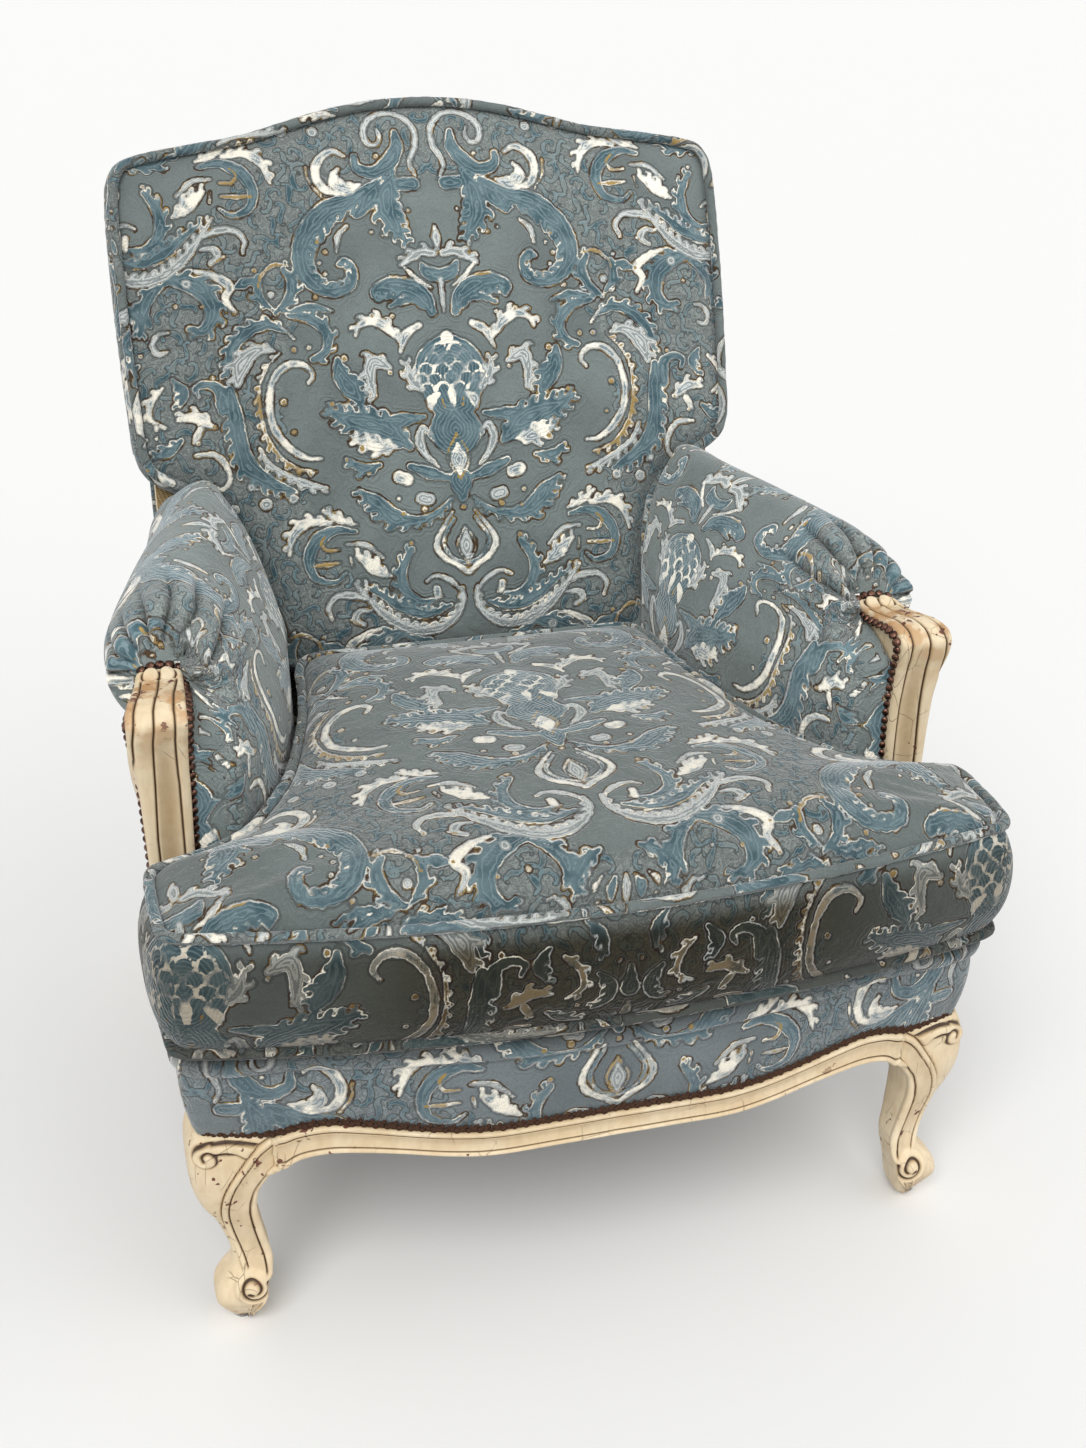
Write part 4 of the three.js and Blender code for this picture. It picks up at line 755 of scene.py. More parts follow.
def painted():
    """Antique cream paint with brown glaze in the grooves, worn patches, chips and cracks."""
    look = Look("antique_paint", {"Specular IOR Level": 0.4})
    groove, wear = look.attribute("groove"), look.attribute("wear")
    look.colours = look.mix(look.noise(18, 5).ramp(0.3, 0.7), (0.80, 0.64, 0.41), (0.90, 0.76, 0.54))
    look.lay(look.noise(42, 4).ramp(0.44, 0.6) * wear, (0.56, 0.30, 0.125))
    cell = look.value("TexVoronoi", {"Vector": look.place((1, 1, 0.5)), "Scale": 46}, "Distance",
                      feature="DISTANCE_TO_EDGE")
    crack = cell.ramp(0.012, 0.003) * look.noise(24, 2).ramp(0.5, 0.62)
    look.lay(crack * 0.55, (0.22, 0.13, 0.06))
    look.lay(look.noise(160, 3, stretch=(1, 1, 0.3)).ramp(0.35, 0.7, 0.0, 0.2), (0.50, 0.37, 0.21))
    stain = groove + look.noise(130, 2) * 0.12
    look.lay(stain.ramp(0.1, 0.65, 0.0, 0.75), (0.42, 0.28, 0.135))
    look.lay(stain.ramp(0.5, 0.95), (0.055, 0.028, 0.014))
    bruised = wear * 0.07
    chip = (look.noise(85, 3) + bruised).ramp(0.66, 0.69) * (look.noise(9, 1) + bruised).ramp(0.5, 0.6)
    look.lay(chip, (0.16, 0.055, 0.035))
    look.feed("Roughness", look.noise(30, 3).ramp(0.3, 0.7, 0.42, 0.6))
    return look.finish(look.noise(70, 4) - (crack + chip), 0.0005)


def timber():
    """Bare beech: growth rings, pores and a dry surface."""
    look = Look("bare_beech", {"Specular IOR Level": 0.3})
    growth = {"Vector": look.place((1, 1, 0.35)), "Scale": 26, "Distortion": 5, "Detail": 3,
              "Detail Scale": 1.4}
    rings = look.value("TexWave", growth, "Fac", wave_type="RINGS")
    pores = look.noise(700, 2, stretch=(1, 1, 0.08))
    look.colours = look.mix(rings.ramp(0.2, 0.9), (0.47, 0.29, 0.14), (0.60, 0.40, 0.21))
    look.lay(pores.ramp(0.55, 0.7, 0.0, 0.6), (0.26, 0.15, 0.07))
    look.feed("Roughness", rings.ramp(0.0, 1.0, 0.62, 0.78))
    return look.finish(pores, 0.0003)


def woven(name, warp, weft, count):
    """Plain-woven cloth: yarns over and under, with slubs."""
    look = Look(name, {"Roughness": 0.92, "Specular IOR Level": 0.2})
    across, along, up = [look.value("SeparateXYZ", {"Vector": look.place()}, axis) for axis in range(3)]
    over = ((across + up) * count).sine() * ((along - up) * count).sine()
    slub = look.noise(220, 3)
    look.colours = look.mix(over.ramp(-0.4, 0.4), warp, weft)
    look.lay(slub.ramp(0.5, 0.8, 0.0, 0.5), tinted(warp, 0.55))
    return look.finish(over + slub, 0.0006)


def fibres(name, dark, light, scale):
    """Stuffing: tangled fibres or open foam."""
    look = Look(name, {"Roughness": 0.95, "Specular IOR Level": 0.15})
    strand = look.noise(scale, 6, 2.5, 0.7)
    look.colours = look.mix(strand.ramp(0.35, 0.65), dark, light)
    return look.finish(strand, 0.0012)


def metal(name, dark, light, roughness, scale):
    """Tarnished metal, rougher where it is dull."""
    look = Look(name, {"Metallic": 1.0})
    tarnish = look.noise(scale, 4)
    look.colours = look.mix(tarnish.ramp(0.35, 0.65), dark, light)
    look.feed("Roughness", tarnish.ramp(0.3, 0.7, roughness + 0.15, roughness))
    return look.finish(look.noise(scale * 4), 0.0002)


GROUND = (0.138, 0.163, 0.157)
DAMASK_CLOTH = velvet("velvet_damask", GROUND, (0.158, 0.178, 0.171), (0.052, 0.098, 0.117),
                      (0.200, 0.282, 0.302), (0.26, 0.29, 0.285), (0.56, 0.59, 0.57))
BORDER_CLOTH = velvet("velvet_damask_border", (0.145, 0.168, 0.176), (0.170, 0.192, 0.196),
                      (0.080, 0.128, 0.150), (0.190, 0.262, 0.285), (0.26, 0.29, 0.29), (0.48, 0.50, 0.48))
PAINT = painted()
BEECH = timber()
JUTE = woven("jute_webbing", (0.36, 0.25, 0.12), (0.46, 0.33, 0.17), 1500)
BLACK_CLOTH = woven("black_cambric", (0.020, 0.019, 0.017), (0.035, 0.033, 0.030), 3200)
HAIR = fibres("hair_stuffing", (0.035, 0.022, 0.012), (0.16, 0.10, 0.055), 260)
FOAM = fibres("foam_core", (0.55, 0.47, 0.30), (0.78, 0.70, 0.50), 420)
STEEL = metal("spring_steel", (0.20, 0.19, 0.18), (0.48, 0.47, 0.46), 0.32, 90)
COPPER = metal("copper_nails", (0.040, 0.020, 0.015), (0.20, 0.105, 0.075), 0.30, 240)
ZIP = woven("zip_tape", (0.03, 0.03, 0.032), (0.06, 0.06, 0.064), 2600)
GIMP = fibres("gimp_braid", (0.030, 0.015, 0.010), (0.13, 0.065, 0.040), 520)


# Shared outlines, in shares as the solids have them

BACK_OUTLINE_SHARES = [
    (0, -0.055), (0.3, -0.055), (0.56, -0.055), (0.63, -0.038), (0.655, 0.005), (0.67, 0.1), (0.69, 0.175),
    (0.72, 0.225), (0.8, 0.272), (0.9, 0.305), (0.955, 0.325), (0.985, 0.36), (0.995, 0.45), (1.002, 0.6),
    (1.002, 0.74), (0.997, 0.83), (0.985, 0.87), (0.955, 0.896), (0.9, 0.908), (0.72, 0.926), (0.56, 0.94),
    (0.42, 0.962), (0.28, 0.983), (0.14, 0.996), (0, 1),
]
CUSHION_OUTLINE_SHARES = [
    (0, 0), (0.25, 0.0055), (0.5, 0.0216), (0.75, 0.0485), (0.92, 0.073), (0.965, 0.083), (0.988, 0.1),
    (0.997, 0.14), (1, 0.19), (0.998, 0.262), (0.985, 0.289), (0.955, 0.299), (0.9, 0.312), (0.827, 0.336),
    (0.7506, 0.3776), (0.682, 0.45), (0.626, 0.529), (0.575, 0.6466), (0.537, 0.762), (0.5165, 0.871),
    (0.508, 0.94), (0.49, 0.98), (0.45, 0.997), (0.25, 1), (0, 1),
]
CROWN_SHARES = [(1, 0), (0.96, 0.33), (0.86, 0.62), (0.68, 0.85), (0.42, 0.97), (0.16, 1), (0, 1)]

back_outline = smooth([(x * BACK_HALF, y * BACK_RISE) for x, y in both_sides(BACK_OUTLINE_SHARES)], 560, True)
cushion_outline = smooth([(x * CUSHION_HALF, y * CUSHION_LENGTH - CUSHION_FRONT)
                          for x, y in both_sides(CUSHION_OUTLINE_SHARES)], 640, True)
snug = 3.0 * eased(-240, -200, cushion_outline[:, 1]) * eased(120, 80, cushion_outline[:, 1])
cushion_outline[:, 0] += np.sign(cushion_outline[:, 0]) * snug  # the used cushion has spread to the arms
back_middle = np.array([0, BACK_RISE / 2])
cushion_middle = np.array([0, BOW_DEPTH / 4 - FRONT_REACH])


def on_back(across, up, out):
    """Points of the reclined back: across, up its slope and out of its face."""
    across, up, out = np.broadcast_arrays(across, up, out)
    return (BACK_FOOT + np.stack([across, 0 * across, 0 * across], axis=-1)
            + up[..., None] * BACK_UP + out[..., None] * BACK_OUT)


def back_plane(points):
    """Across, up and out on the back's plane."""
    away = points - BACK_FOOT
    return away[:, 0], away @ BACK_UP, away @ BACK_OUT


def flat_ring(outline, height):
    return np.column_stack([outline, np.full(len(outline), float(height))])


def crown_rings(outline, middle, count):
    """Rings drawn in towards the middle, with the share of the crown that each reaches."""
    shares = 1 - np.linspace(0, 1, count) ** 1.6
    curve = smooth(CROWN_SHARES[::-1], 200)
    for share in shares[shares > 0.02]:
        yield middle + (outline - middle) * share, table(curve, share)


# Padding

VOXEL = 5.2  # size of the simulated quads
CLOTH_FRAMES = 20
HELD_BY_ARMS = 0.45  # how far the boxing swells between the arms
SEAT_PATTERN_Y = 360  # seat cloth: pattern height at the drawing's zero depth


def remeshed(name, mesh, size=VOXEL):
    """The mesh's skin as even quads of a size in millimetres."""
    holder = linked(name, mesh)
    change = holder.modifiers.new("even", "REMESH")
    change.mode = "VOXEL"
    change.voxel_size = size * MM
    return baked(holder)


def baked(holder):
    """The holder's mesh with its modifiers applied; the holder goes."""
    shown = holder.evaluated_get(bpy.context.evaluated_depsgraph_get())
    mesh = bpy.data.meshes.new_from_object(shown)
    bpy.data.objects.remove(holder)
    return mesh


def neighbour_mean(mesh):
    """A function that gives, for the mesh's points, the mean of each one's neighbours."""
    edges = np.empty(len(mesh.edges) * 2, int)
    mesh.edges.foreach_get("vertices", edges)
    a, b = edges[0::2], edges[1::2]
    count = len(mesh.vertices)
    degree = np.bincount(a, minlength=count) + np.bincount(b, minlength=count)

    def mean(points):
        sums = [np.bincount(a, column[b], count) + np.bincount(b, column[a], count) for column in points.T]
        return np.stack(sums, axis=1) / degree[:, None]

    return mean


def relaxed(mesh, rounds, tied=None):
    """Smooths the points halfway to their neighbours' mean each round; tied may then pull them back."""
    mean = neighbour_mean(mesh)
    points = coordinates(mesh)
    for _ in range(rounds):
        points = points + 0.5 * (mean(points) - points)
        if tied:
            points = tied(points)
    set_coordinates(mesh, points)


def inflated(mesh, pinned, freedom, cap, pressure=4.0):
    """Blows the cover up as cloth. Pinned points stay, freedom scales the rest, and cap limits it."""
    holder = linked("pad_in_cloth", mesh)
    scene = bpy.context.scene
    group = holder.vertex_groups.new(name="pinned")
    group.add(np.flatnonzero(pinned).tolist(), 1.0, "REPLACE")
    cloth = holder.modifiers.new("cloth", "CLOTH")
    settings = cloth.settings
    settings.quality = 4
    settings.mass = 0.25
    settings.tension_stiffness = 12
    settings.compression_stiffness = 12
    settings.bending_stiffness = 0.4
    settings.use_pressure = True
    settings.uniform_pressure_force = pressure
    settings.vertex_group_mass = "pinned"
    settings.effector_weights.gravity = 0
    cloth.collision_settings.use_collision = False
    cloth.point_cache.frame_start = 1
    cloth.point_cache.frame_end = CLOTH_FRAMES
    before = coordinates(mesh)
    for number in range(1, CLOTH_FRAMES + 1):
        scene.frame_set(number)
    shown = holder.evaluated_get(bpy.context.evaluated_depsgraph_get())
    after = coordinates(shown.data)
    scene.frame_set(1)
    bpy.data.objects.remove(holder)
    move = (after - before) * freedom[:, None]
    far = np.linalg.norm(move, axis=1) + 1e-9
    held = cap * np.tanh(far / cap)
    set_coordinates(mesh, before + move * (held / far)[:, None])


def finer(mesh):
    """The mesh with each quad split in four and smoothed."""
    holder = linked("pad_subdivided", mesh)
    change = holder.modifiers.new("finer", "SUBSURF")
    change.levels = 1
    change.render_levels = 1
    return baked(holder)


def seat_cushion():
    """The loose T cushion: crowned top and bottom, boxing that swells between two rows of piping."""
    wall = outset(cushion_outline, -2 * WELT)
    swelling = 0.8 * CUSHION_BULGE * np.where(wall[:, 1] < -ARM_FRONT, 1.0, HELD_BY_ARMS)
    rings = []
    for ring, reached in list(crown_rings(wall, cushion_middle, 12))[::-1]:
        rings.append(flat_ring(ring, CUSHION_BOTTOM_SEAM - reached * (CUSHION_BOTTOM_SEAM - SEAT_TOP - 1.5)))
    for share in np.linspace(0.06, 0.94, 9):
        z = CUSHION_BOTTOM_SEAM + share * (CUSHION_TOP_SEAM - CUSHION_BOTTOM_SEAM)
        swell = swelling * (1 - abs(2 * share - 1) ** 2.4)
        rings.append(flat_ring(wall + normals_2d(wall) * swell[:, None], z))
    for ring, reached in crown_rings(wall, cushion_middle, 22):
        rings.append(flat_ring(ring, CUSHION_TOP_SEAM + reached * CUSHION_CROWN * 0.9))
    mesh = remeshed("cushion", bare_mesh("cushion_rings", *rings_mesh(np.array(rings))))
    relaxed(mesh, 4)
    points = coordinates(mesh)
    z = points[:, 2]
    edge_gap, _ = nearest(points[:, :2], wall[::3])
    seam_gap = np.hypot(edge_gap, np.minimum(abs(z - CUSHION_TOP_SEAM), abs(z - CUSHION_BOTTOM_SEAM)))
    freedom = eased(4, 60, seam_gap) * eased(CUSHION_BOTTOM_SEAM - 2, CUSHION_BOTTOM_SEAM + 12, z)
    inflated(mesh, seam_gap < 8, freedom, 9)
    mesh = finer(mesh)
    piece = adopt("seat_cushion_cover", mesh, DAMASK_CLOTH, "velvet", "seat_cushion")
    points = coordinates(mesh)
    x, y, z = points.T
    drop = np.maximum(CUSHION_TOP_SEAM - z, 0)
    side = drop > 2
    from_edge, _ = nearest(points[:, :2], wall[::3])
    climb = np.hypot(from_edge, np.maximum(z - CUSHION_TOP_SEAM, 0)) - from_edge
    pattern_x = np.where(side, along_outline(points[:, :2], evenly(wall, 320, True)), x)
    pattern_y = np.where(side, -CUSHION_FRONT - drop, y + climb * eased(-150, -300, y))
    # dirt with painted shade on the boxing below the top seam, strongest at the front middle
    dirt_and_painted_light = eased(-3, 26, drop) * (0.70 + 0.30 * eased(330, 120, np.abs(x)))
    dress(piece, pattern_x, SEAT_PATTERN_Y + pattern_y, dirt_and_painted_light)
    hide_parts("cushion_cover")


def back_pad():
    """The stuffed back with its crown and swollen edge."""
    seam_in = 2 * WELT + 0.6
    inner = outset(back_outline, -seam_in)
    rings = []

    def add_ring(ring, out):
        rings.append(on_back(ring[:, 0], ring[:, 1], out))

    for ring, _ in list(crown_rings(back_outline, back_middle, 6))[::-1]:
        add_ring(ring, -BACK_PAD_THICK)
    for share in np.linspace(0, 1, 6):
        swell = 6 * math.sin(math.pi * share) - 2 * (1 - share)
        add_ring(outset(back_outline, swell), share * (BACK_PAD_THICK - seam_in) - BACK_PAD_THICK)
    for ring, reached in crown_rings(inner, back_middle, 24):
        add_ring(ring, 0.97 * (reached * (BACK_CROWN + seam_in) - seam_in))
    mesh = remeshed("back", bare_mesh("back_rings", *rings_mesh(np.array(rings)[:, ::-1])))
    relaxed(mesh, 4)
    across, up, out = back_plane(coordinates(mesh))
    edge_gap, _ = nearest(np.column_stack([across, up]), back_outline[::3])
    seam_gap = np.hypot(np.maximum(edge_gap - seam_in, 0), out + seam_in)
    freedom = eased(4, 70, seam_gap) * eased(-BACK_PAD_THICK + 2, -BACK_PAD_THICK + 16, out)
    inflated(mesh, (seam_gap < 8) | (out < -BACK_PAD_THICK + 4), freedom, 7)
    mesh = finer(mesh)
    piece = adopt("back_pad_cover", mesh, DAMASK_CLOTH, "velvet")
    across, up, out = back_plane(coordinates(mesh))
    flat = np.column_stack([across, up])
    gap, _ = nearest(flat, back_outline[::2])
    wrap = np.maximum(-seam_in - out, 0)
    side = (wrap > 2) & (gap < 14)
    x = np.where(side, along_outline(flat, evenly(back_outline, 300, True)), across)
    y = np.where(side, 120 + wrap, up)
    # painted sheen over the back, fading out towards its -X side
    dress(piece, x - 10 + 8 * y / BACK_RISE, y, -0.45 * eased(-300, 0, across))
    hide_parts("back_pad")


# Piping

WELT_SIDES = 14
BIAS = 0.71  # the strip is cut slantwise


def tube(line, radius):
    """Points of a closed tube round a closed line, its radius given point by point."""
    along = directions(line)
    flat = np.linalg.svd(line - line.mean(0))[2][2]
    out = np.cross(along, flat)
    out /= np.linalg.norm(out, axis=1)[:, None]
    up = np.cross(out, along)
    turn = np.linspace(0, 2 * math.pi, WELT_SIDES, endpoint=False)
    return (line[:, None, :] + (out[:, None, :] * np.cos(turn)[None, :, None]
                                + up[:, None, :] * np.sin(turn)[None, :, None]) * radius[:, None, None])


def piping(name, line, node_name, body="frame", dirt_and_painted_light=0.0):
    """Bias-cut piping over a cord: slightly uneven, with small puckers."""
    count = len(line)
    run = np.arange(count)
    pucker = 0.22 * np.sin(run * 0.9) * np.sin(run * 0.137) + 0.15 * np.sin(run * 0.31 + 1)
    points = tube(line, WELT + 0.1 + pucker).reshape(-1, 3)
    piece = make(name, points, grid_faces(count, WELT_SIDES, True, True), DAMASK_CLOTH, "piping", body)
    length = np.repeat(run * np.linalg.norm(line[1] - line[0]), WELT_SIDES)
    girth = np.tile(np.linspace(0, 2 * math.pi * WELT, WELT_SIDES, endpoint=False), count)
    dress(piece, (length - girth) * BIAS, (length + girth) * BIAS + 40, dirt_and_painted_light)
    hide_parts(node_name)


def all_piping():
    line = evenly(outset(back_outline, -WELT), 900, True)
    piping("back_piping", on_back(line[:, 0], line[:, 1], -WELT), "back_welt")
    line = evenly(outset(cushion_outline, -WELT), 1000, True)
    # the lower piping is darkened by 0.72: painted shade under the cushion
    for end, seam, dirt_and_painted_light in (("top", CUSHION_TOP_SEAM, 0.0), ("bottom", CUSHION_BOTTOM_SEAM, 0.72)):
        piping(f"cushion_piping_{end}", flat_ring(line, seam), f"cushion_welt_{end}", "seat_cushion", dirt_and_painted_light)


# Arms

POST_REAR = -128  # the cover above a post starts behind this depth
SIDE_SLOPE = 1.9  # rise of the cover away from the post's inner nails
REAR_SLOPE = 4.0  # and away from the ones behind its top
PLEATS = 13
PLEAT_DEPTH = 8.5
PLEAT_MIDDLE = (357, 566)  # pleats radiate from here, across and up
CAP_INNER = 331  # the post's top, from its inner side
CAP_OUTER = 389  # to its outer side
POST_SIDE = 336.8  # the cover lies this far out beside the post
ARM_CENTRE_Z = 545
ARM_RADIUS = 80
ARM_PATTERN_X = -80
ARM_PATTERN_Y = -260


def tied_round_post():
    """How an arm's cover is held while it is relaxed: tied to the post's nails and off the post's top."""
    ties = post_nail_path()[0][::3]

    def tied(points):
        x, y, z = points.T
        over = (x > CAP_INNER) & (z > 548)
        wall = POST_REAR + 2 - 9 * eased(0, 20, z - 572)
        points[:, 1] = np.where(over & (y < wall), wall, y)
        dx = np.maximum(np.maximum(CAP_INNER - x, x - CAP_OUTER), 0)
        dy = np.maximum(y - POST_REAR, 0)
        far = np.hypot(dx, dy) + 1e-6
        slope = (SIDE_SLOPE * dx**2 + REAR_SLOPE * dy**2) / far**2
        near_post = (x > 285) & (y < POST_REAR + 60) & (z > 562)
        points[:, 2] = np.where(near_post, np.minimum(z, 563 + slope * far), z)
        beside = (x > 318) & (z < 560) & (y < -150)
        points[:, 0] = np.where(beside, x + eased(318, 332, x) * (POST_SIDE - x), x)
        gap, index = nearest(points, ties)
        reach = 13 + 21 * (y < -165) * (z < 570) * (x < 352)
        pull = eased(0, 1, (reach - gap) / (reach - 4))[:, None] * (z > SEAT_TOP - 20)[:, None]
        return points + pull * (ties[index] - points)

    return tied


def pleated(points, normals):
    """Gathers that radiate from the nails round the rear of a post's top; also how deep each point lies."""
    x, y, z = points.T
    angle = np.arctan2(z - PLEAT_MIDDLE[1], x - PLEAT_MIDDLE[0])
    away = np.hypot(x - PLEAT_MIDDLE[0], z - PLEAT_MIDDLE[1])
    reach = eased(14, 30, away) * eased(120, 60, away) * eased(-25, -90, y) * eased(-0.45, 0.1, angle + 0.1)
    reach *= eased(-0.1, 0.4, -normals[:, 1] + 0.3 * normals[:, 2])
    fold = np.abs(np.sin(angle * PLEATS / 2 + 0.35 * np.sin(3 * angle) + 0.5))
    valley = (1 - fold) ** 2.2
    return points - normals * (PLEAT_DEPTH * reach * (valley - 0.25))[:, None], valley * reach


def arm_pads():
    """Stuffed arms, from the solid's own shape: tied to the post, blown up and pleated round its top."""
    mesh = remeshed("arm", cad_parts["arm_pad_right"].data.copy())
    relaxed(mesh, 6)
    relaxed(mesh, 16, tied_round_post())
    points = coordinates(mesh)
    y, z = points[:, 1], points[:, 2]
    gap, _ = nearest(points, post_nail_path()[0][::3])
    freedom = eased(SEAT_TOP + 10, SEAT_TOP + 60, z) * eased(250, 150, y) * eased(4, 40, gap)
    inflated(mesh, (z < SEAT_TOP + 12) | (gap < 6), freedom, 8, 3.0)
    mesh = finer(mesh)
    for side, sign in SIDES:
        mine = mesh.copy()
        normals = vertex_normals(mine)
        points, folds = pleated(coordinates(mine), normals)
        x, y, z = points.T
        set_coordinates(mine, points * (sign, 1, 1))
        if sign < 0:
            mine.flip_normals()
        piece = adopt("arm_cover_" + side, mine, DAMASK_CLOTH, "velvet")
        across = x - (290 + 0.12 * -y)
        rise = z - ARM_CENTRE_Z
        turn = np.arctan2(np.maximum(rise, 0), -across)
        girth = ARM_CENTRE_Z + ARM_RADIUS * turn + np.where(turn > math.pi / 2, -1, 1) * np.minimum(rise, 0)
        facing = eased(0.35, 0.85, -normals[:, 1]) * eased(-60, -140, y)
        round_nose = np.maximum(0, x - 270) * (rise < 0) * eased(-185, -222, y)
        down_face = np.maximum(0, ARM_RADIUS - np.hypot(across, rise)) * (rise >= 0) * facing
        # painted shade in the valleys of the pleats and painted sheen over the rest of the cover
        dress(piece, y - round_nose - down_face + ARM_PATTERN_X, girth + ARM_PATTERN_Y, folds * 1.6 - 0.8)
        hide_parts("arm_pad_" + side)


# Covered border

APRON_EDGE_SHARES = [(0, 0.31), (0.15, 0.27), (0.28, 0.19), (0.34, 0.19), (0.42, 0.27), (0.52, 0.42),
                     (0.61, 0.5), (0.69, 0.5), (0.75, 0.37), (0.775, 0.24), (0.797, 0.04)]
NAIL_LINE_SHARES = [(0, 1), (0.15, 0.955), (0.3, 0.88), (0.4, 0.94), (0.5, 1.08), (0.6, 1.24),
                    (0.69, 1.32), (0.76, 1.2), (0.795, 1.07), (0.83, 0.98), (0.87, 0.955)]
KNEE_TOP = 219  # top of the knee beside the apron
CREASE = SEAT_TOP - 29  # under the border's edge roll
BORDER_PATTERN_Y = -170


def bow_y(x):
    return -FRONT_REACH + BOW_DEPTH * (np.asarray(x) / SEAT_HALF) ** 2


nail_curve = smooth(np.array(NAIL_LINE_SHARES) * (SEAT_HALF, APRON_HEIGHT) + (0, APRON_LOWEST), 240)
apron_curve = smooth(np.array(APRON_EDGE_SHARES) * (SEAT_HALF, APRON_HEIGHT) + (0, APRON_LOWEST), 240)


def nail_line(x):
    return np.interp(np.abs(x), nail_curve[:, 0], nail_curve[:, 1], right=KNEE_TOP)


def platform_half(y):
    """Half width of the deck behind the posts."""
    return PLATFORM_HALF - SIDE_TAPER * (y - LEG_BACK)


def deck_front():
    """Plan of the border's face from its left side end round the bow to its right side end."""
    straight = SEAT_HALF - CORNER_ROUND
    bow = [(x, float(bow_y(x))) for x in np.linspace(0, straight, 30)]
    corner = [(straight + CORNER_ROUND * math.sin(a), bow[-1][1] + CORNER_ROUND * (1 - math.cos(a)))
              for a in np.linspace(0.15, math.pi / 2, 8)]
    side = [(SEAT_HALF, y) for y in np.linspace(bow[-1][1] + CORNER_ROUND + 6, COVER_SIDE_END, 12)]
    right = bow + corner + side
    return np.array([(-x, y) for x, y in reversed(right) if x > 0] + right)


def border():
    """Covered border: puckered above the nails, creased under a stuffed edge roll, then the deck."""
    plan = evenly(deck_front(), 460)
    away = normals_2d(plan, closed=False)
    low = nail_line(plan[:, 0]) + 0.6
    run = run_along(plan)
    run -= run[-1] / 2
    fuller = 13 * eased(270, 350, np.abs(plan[:, 0]))
    tucked = 5 * eased(300, 230, np.abs(plan[:, 0]))
    rows, pattern = [], []

    def add_row(flat, z, pattern_x, pattern_y):
        rows.append(np.column_stack([flat, z + 0 * low]))
        pattern.append(np.column_stack([pattern_x, pattern_y + 0 * low]))

    for share in np.linspace(0, 1, 26):
        z = low + (CREASE - low) * share
        puff = 3.0 * math.sin(math.pi * share) ** 0.7 - 2.0 * share**6
        pucker = 0.9 * np.exp(-share * 7) * np.sin(run * 0.55 + np.sin(run * 0.11) * 2)
        out = puff - 3 + pucker + fuller * (0.25 + 0.75 * share)
        add_row(plan + away * out[:, None], z, run, z)
    for angle in np.linspace(-80, 90, 18):
        a = math.radians(angle)
        fall = 1 - math.cos(a) if angle > 0 else 0
        out = 9 * math.cos(a) - 5.5 - 14 * fall - tucked * eased(-50, 10, angle) + fuller * (1 - fall)
        add_row(plan + away * out[:, None], CREASE + 15 + 14 * math.sin(a), run, CREASE + 15 + 15 * a)
    rim = rows[-1][:, :2]
    half = platform_half(PLATFORM_REAR)
    far = np.column_stack([np.clip(rim[:, 0], -half, half), PLATFORM_REAR + 0 * low])
    for share in np.linspace(0.08, 1, 22):
        flat = rim + (far - rim) * share
        limit = np.where(flat[:, 1] < COVER_SIDE_END, SEAT_HALF, platform_half(flat[:, 1])) - 1
        flat[:, 0] = np.clip(flat[:, 0], -limit, limit)
        add_row(flat, SEAT_TOP - 0.6, flat[:, 0], SEAT_TOP + 20 + flat[:, 1] + FRONT_REACH)
    faces = grid_faces(len(rows), len(plan))
    piece = make("border_cover_cloth", np.vstack(rows), faces, BORDER_CLOTH, "velvet")
    x, y = np.vstack(pattern).T
    # painted shadow of the cushion over the border's upper edge roll and the deck
    dress(piece, x, y + BORDER_PATTERN_Y, 0.5 * eased(CREASE + 4, CREASE + 26, y))
    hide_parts("border_cover")


# Show-wood

RIB_OUTER = [(296.5, 223.5), (309, 217), (322, 207), (334, 189), (345, 171), (352, 153), (355, 130),
             (351, 104), (345, 82), (341, 66), (338, 50), (337, 30), (338, 3)]
RIB_INNER = [(296.5, 184.5), (303, 180), (308, 174), (315, 165), (320, 156), (323, 137), (320, 113),
             (316, 91), (313, 76), (313, 61), (316, 50), (322, 33), (330, 18), (334, 3)]
RIB_PROFILE = [(-0.03, 0), (0, -1.6), (0.03, 1.5), (0.1, 4.2), (0.18, 3.6), (0.225, -0.6), (0.265, 3.0),
               (0.36, 1.9), (0.5, 1.2), (0.64, 1.9), (0.735, 3.0), (0.775, -0.6), (0.82, 3.8),
               (0.9, 4.6), (0.96, 3.4), (1, 1.0)]
RIB_GROOVES = (0.0, 0.225, 0.775)
GROOVE_SHARE = 0.026  # half width of a glazed groove across the rib
FILLET_WASH = 0.24  # thin glaze left on the flat between the grooves
LEG_OUTLINE = [(3.3, 352), (12, 359), (22, 364), (33, 366.5), (44, 364), (53, 357), (60, 350),
               (68, 347.5), (80, 349), (94, 353.5), (111, 360), (133, 372), (155, 379), (179, 381),
               (200, 380.5), (210, 378), (219, 374)]
LEG_INSIDE = [(3.3, 330), (10, 325), (22, 321), (33, 319), (50, 316), (61, 314), (76, 313), (91, 316),
              (113, 320), (137, 323), (156, 320), (165, 315), (174, 308), (180, 302), (186, 297),
              (219, 296.5)]
LEG_DEPTHS = [
    (3.3, -373, -369, -350), (14, -381, -374, -344), (33, -390, -384, -341), (50, -390, -380, -340),
    (63, -382, -371, -339), (80, -377, -366, -338), (100, -378, -363, -333), (130, -382, -367, -325),
    (150, -385, -371, -318), (166, -387, -375, -313), (178, -388, -377, -311), (200, -388.5, -377, -308),
    (219, -388.5, -373, -306),
]
FOOT_EYE = (332, 47)
FOOT_SCROLL = 16
KNEE_EYE = (364, 201)
KNEE_SCROLL = [(319, 211), (333, 214.5), (347, 216), (361, 214), (372, 208), (375.5, 199), (371, 192),
               (363, 190.5), (356, 195), (356, 203), (362, 207), (367, 203), (366, 198)]
KNEE_UNDER = [(329, 196), (337, 203), (347, 206), (356, 205)]
